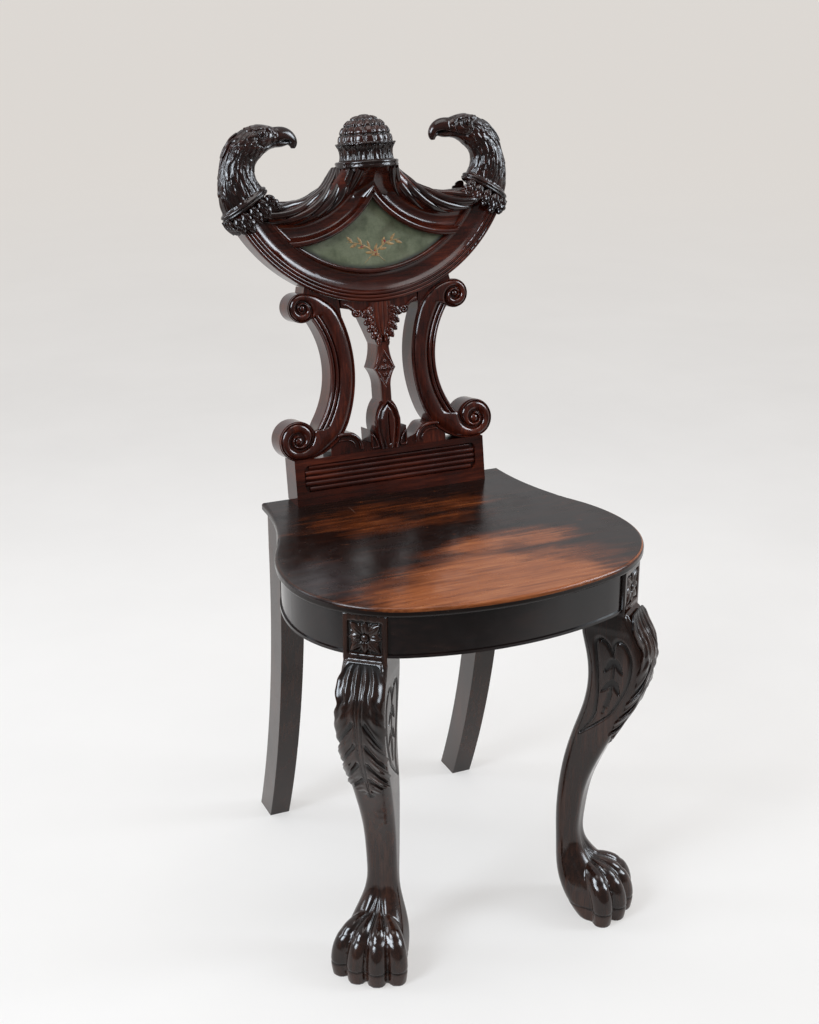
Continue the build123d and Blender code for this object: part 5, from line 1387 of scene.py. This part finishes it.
def lotus_bud():
    """Lotus bud: a raised rim, a groove inside it, a swelling middle and its slit."""
    up = np.linspace(0, 1, 120)
    half = np.interp(up, BUD_SHARES, BUD_HALVES)
    share, x, rise = splat_grid(eased(half, 12), LOTUS_FOOT + (LOTUS_TIP - LOTUS_FOOT) * up, 61)
    room = (1 - np.abs(share)) * half[:, None]
    rim = np.sqrt(np.clip(1 - (2 * np.clip(room / BUD_RIM, 0, 1) - 1) ** 2, 0, 1)) * 4.6
    middle = 1.2 + 3.2 * step(BUD_RIM, 10.0, room)
    slit_ends = (step(0.05, 0.12, up) * (1 - step(0.68, 0.78, up)))[:, None]
    slit = -2.2 * hump(x, 0.0, 0.8) * slit_ends
    return on_splat(x, rise, -SPLAT_SINK + np.where(room < BUD_RIM, rim, middle + slit))


def husk_leaves():
    """Ragged leaves that fall on both sides of the husk and close under its point."""
    strips = []
    share = np.linspace(0, 1, 20)
    height = -1.2 + 1.6 * np.sin(pi * share) + 1.4 * share**3
    taper = np.sqrt(np.clip(1.02 - share**2.6, 0, 1)) * (0.7 + 0.3 * np.sin(pi * share))
    for start, end, half in HUSK_LEAVES:
        x, rise = (np.outer(1 - share, start) + np.outer(share, end)).T
        for side in (-1, 1):
            spine = on_back(side * x, rise, height)
            strips.append(carved_leaf(spine, BACK_OUT, half * taper, thick=2.6, arch=1.4, vein=0.7))
    return strips


def wing_line():
    """Line of the ridge under the rim, which ends in a small curl."""
    share = np.linspace(0, 1, 14)
    angle = radians(35) - 2 * pi * 1.25 * share
    curl = np.stack(round_from((28.6, 211.6), 4.4 * (1 - 0.75 * share), angle), axis=1)
    return np.vstack((((45.5, 223.5), (38.0, 219.0), (32.0, 214.0)), curl))


# Ridges on the right of the splat: line, half width and height
FOOT_LINE = ((64.0, 74.4), (55.0, 75.2), (47.0, 74.2), (40.8, 71.0), (36.8, 66.0), (35.0, 60.5), (35.2, 55.8))
LOW_LINE = ((63.0, 68.2), (54.0, 68.8), (47.5, 67.2), (43.2, 63.2), (41.4, 57.0))
PANEL_LINE = (
    (13.2, 55.6),
    (17.0, 55.8),
    (21.2, 56.2),
    (21.3, 62.0),
    (21.3, 70.5),
    (19.6, 69.4),
    (17.4, 66.4),
    (14.9, 61.0),
    (13.2, 55.6),
)
RIDGES = (
    (wing_line(), 2.0, 3.8),
    (FOOT_LINE, 2.5, 3.8),
    (LOW_LINE, 1.1, 1.6),
    (PANEL_LINE, 1.3, 3.0),
)


def ridge(points, half, height):
    """Half-round ridge along a line on the sunk face of the splat."""
    flat = smooth_line(points, 14 * len(points))
    index = np.arange(len(flat))
    ends = np.clip(np.minimum(index, index[::-1]) / 4.0 + 0.3, 0, 1)
    return swept(on_back(*flat.T, -SPLAT_SINK), BACK_OUT, half * ends, height * ends, sides=14)


def carved_splat():
    """Splat: ribbed husk in ragged leaves, curls, lozenge of florets, lotus bud and low scrolls."""
    settled(sunk_copy("splat", "splat_body", SPLAT_SINK), upright_wood, "back_mahogany", "splat")
    strips = [husk(), stem(), lotus_bud()] + husk_leaves()
    for side in (-1, 1):
        for line, half, height in RIDGES:
            strips.append(ridge(np.multiply(line, (side, 1)), half, height))
    settled(gathered("splat_carving", strips), upright_wood, "back_mahogany")


scroll_upright()
carved_splat()


# Camera at the photograph's angle
CAMERA_PLACE = Vector((-0.6878, -1.4759, 1.0747))
CAMERA_AIM = Vector((0.0, 0.06256, 0.43153))
LENS, SENSOR_HEIGHT = 55.5, 36.0

# Where the lamps point, and the way towards the dark end of the room, behind the camera
LAMP_AIM = Vector((0, 0, 0.5))
DARK_END = (-0.42, -0.91, 0.0)
FLOOR_SIZE = 80.0


def turned_to(place, aim):
    """Turn of a camera or a lamp that looks from a place to another."""
    return (aim - place).to_track_quat("-Z", "Y").to_euler()


def photo_camera():
    """Camera of the main view."""
    lens = bpy.data.cameras.new("camera")
    lens.sensor_fit = "VERTICAL"
    lens.sensor_height = SENSOR_HEIGHT
    lens.lens = LENS
    camera = linked("camera", lens)
    camera.location = CAMERA_PLACE
    camera.rotation_euler = turned_to(CAMERA_PLACE, CAMERA_AIM)
    bpy.context.scene.camera = camera


def pale_cloth():
    """Plain warm-white floor cloth, pale from every side, but dim in the polish towards the dark end."""
    cloth = Finish("pale_floor_cloth")
    path = cloth.node("ShaderNodeLightPath").outputs
    mottle = cloth.cloud(cloth.place, 2.5, 4.0, 0.6)
    pale = cloth.ramp(mottle, (0.3, paint(204, 202, 200)), (0.7, paint(210, 208, 206)))
    dim = cloth.times(cloth.spread(cloth.dot(DARK_END), 0.42, 0.95), path["Is Glossy Ray"])
    distance = cloth.node("ShaderNodeVectorMath", {0: cloth.place}, operation="LENGTH").outputs["Value"]
    lit = cloth.blend(cloth.spread(distance, 0.7, 2.2), paint(176, 174, 172), paint(140, 138, 136))
    cloth.give("Base Color", cloth.blend(dim, lit, paint(112, 109, 106)))
    far = cloth.spread(distance, 0.8, 6.0)
    cloth.give("Emission Color", cloth.blend(far, pale, paint(214, 209, 203)))
    shown = cloth.minus(cloth.plus(path["Is Camera Ray"], path["Is Glossy Ray"]), dim)
    cloth.give("Emission Strength", cloth.times(shown, cloth.spread(distance, 0.7, 2.2, 0.7, 0.82)))
    cloth.give("Roughness", 0.9)
    cloth.give("Specular IOR Level", 0.2)
    return cloth.material


def floor_sheet():
    """Wide plain floor under the chair."""
    bpy.ops.mesh.primitive_plane_add(size=FLOOR_SIZE, location=(0, 0, 0))
    sheet = bpy.context.active_object
    sheet.name = "floor"
    sheet.data.materials.append(pale_cloth())


def soft_light(name, place, size, power, colour, only_sheen=False):
    """Large soft lamp that faces the chair, or a window that only shows in the polish."""
    glow = bpy.data.lights.new(name, "AREA")
    glow.shape = "RECTANGLE"
    glow.size, glow.size_y = size
    glow.energy = power
    glow.color = colour
    lamp = linked(name, glow)
    lamp.location = place
    lamp.rotation_euler = turned_to(Vector(place), LAMP_AIM)
    lamp.visible_diffuse = not only_sheen
    lamp.visible_camera = False


def pale_room():
    """Soft light from all round, dimmer from the dark end, with an even pale wall behind the chair."""
    world = bpy.data.worlds.new("room")
    bpy.context.scene.world = world
    world.use_nodes = True
    room = world.node_tree
    heading = room.nodes.new("ShaderNodeTexCoord")
    dark_share = room.nodes.new("ShaderNodeVectorMath")
    dark_share.operation = "DOT_PRODUCT"
    dark_share.inputs[1].default_value = DARK_END
    level = room.nodes.new("ShaderNodeMapRange")
    level.interpolation_type = "SMOOTHSTEP"
    for name, value in (("From Min", -0.1), ("From Max", 0.7), ("To Min", 0.75), ("To Max", 0.24)):
        level.inputs[name].default_value = value
    light = room.nodes["Background"]
    light.inputs["Color"].default_value = (0.93, 0.93, 0.94, 1.0)
    wall = room.nodes.new("ShaderNodeBackground")
    wall.inputs["Color"].default_value = paint(217, 213, 208)
    seen = room.nodes.new("ShaderNodeLightPath")
    choice = room.nodes.new("ShaderNodeMixShader")
    for source, target in (
        (heading.outputs["Generated"], dark_share.inputs[0]),
        (dark_share.outputs["Value"], level.inputs["Value"]),
        (level.outputs["Result"], light.inputs["Strength"]),
        (seen.outputs["Is Camera Ray"], choice.inputs[0]),
        (light.outputs[0], choice.inputs[1]),
        (wall.outputs[0], choice.inputs[2]),
        (choice.outputs[0], room.nodes["World Output"].inputs["Surface"]),
    ):
        room.links.new(source, target)


photo_camera()
floor_sheet()
soft_light("window_left", (-2.2, -0.8, 1.8), (0.75, 1.5), 42.0, (0.84, 0.92, 1.0))
soft_light("window_far_left", (-2.0, 1.0, 1.4), (0.5, 1.1), 12.0, (0.84, 0.92, 1.0))
soft_light("window_right", (2.2, -1.0, 1.7), (0.6, 1.4), 24.0, (0.86, 0.93, 1.0))
soft_light("overhead", (0.0, -0.2, 2.8), (1.4, 1.4), 16.0, (1.0, 0.99, 0.97))
soft_light("sheen_left", (-2.4, -1.0, 2.15), (1.7, 1.6), 84.0, (0.8, 0.9, 1.0), only_sheen=True)
soft_light("sheen_right", (2.4, -1.1, 2.15), (1.5, 1.6), 74.0, (0.82, 0.91, 1.0), only_sheen=True)
pale_room()
bpy.context.scene.view_settings.view_transform = "Standard"
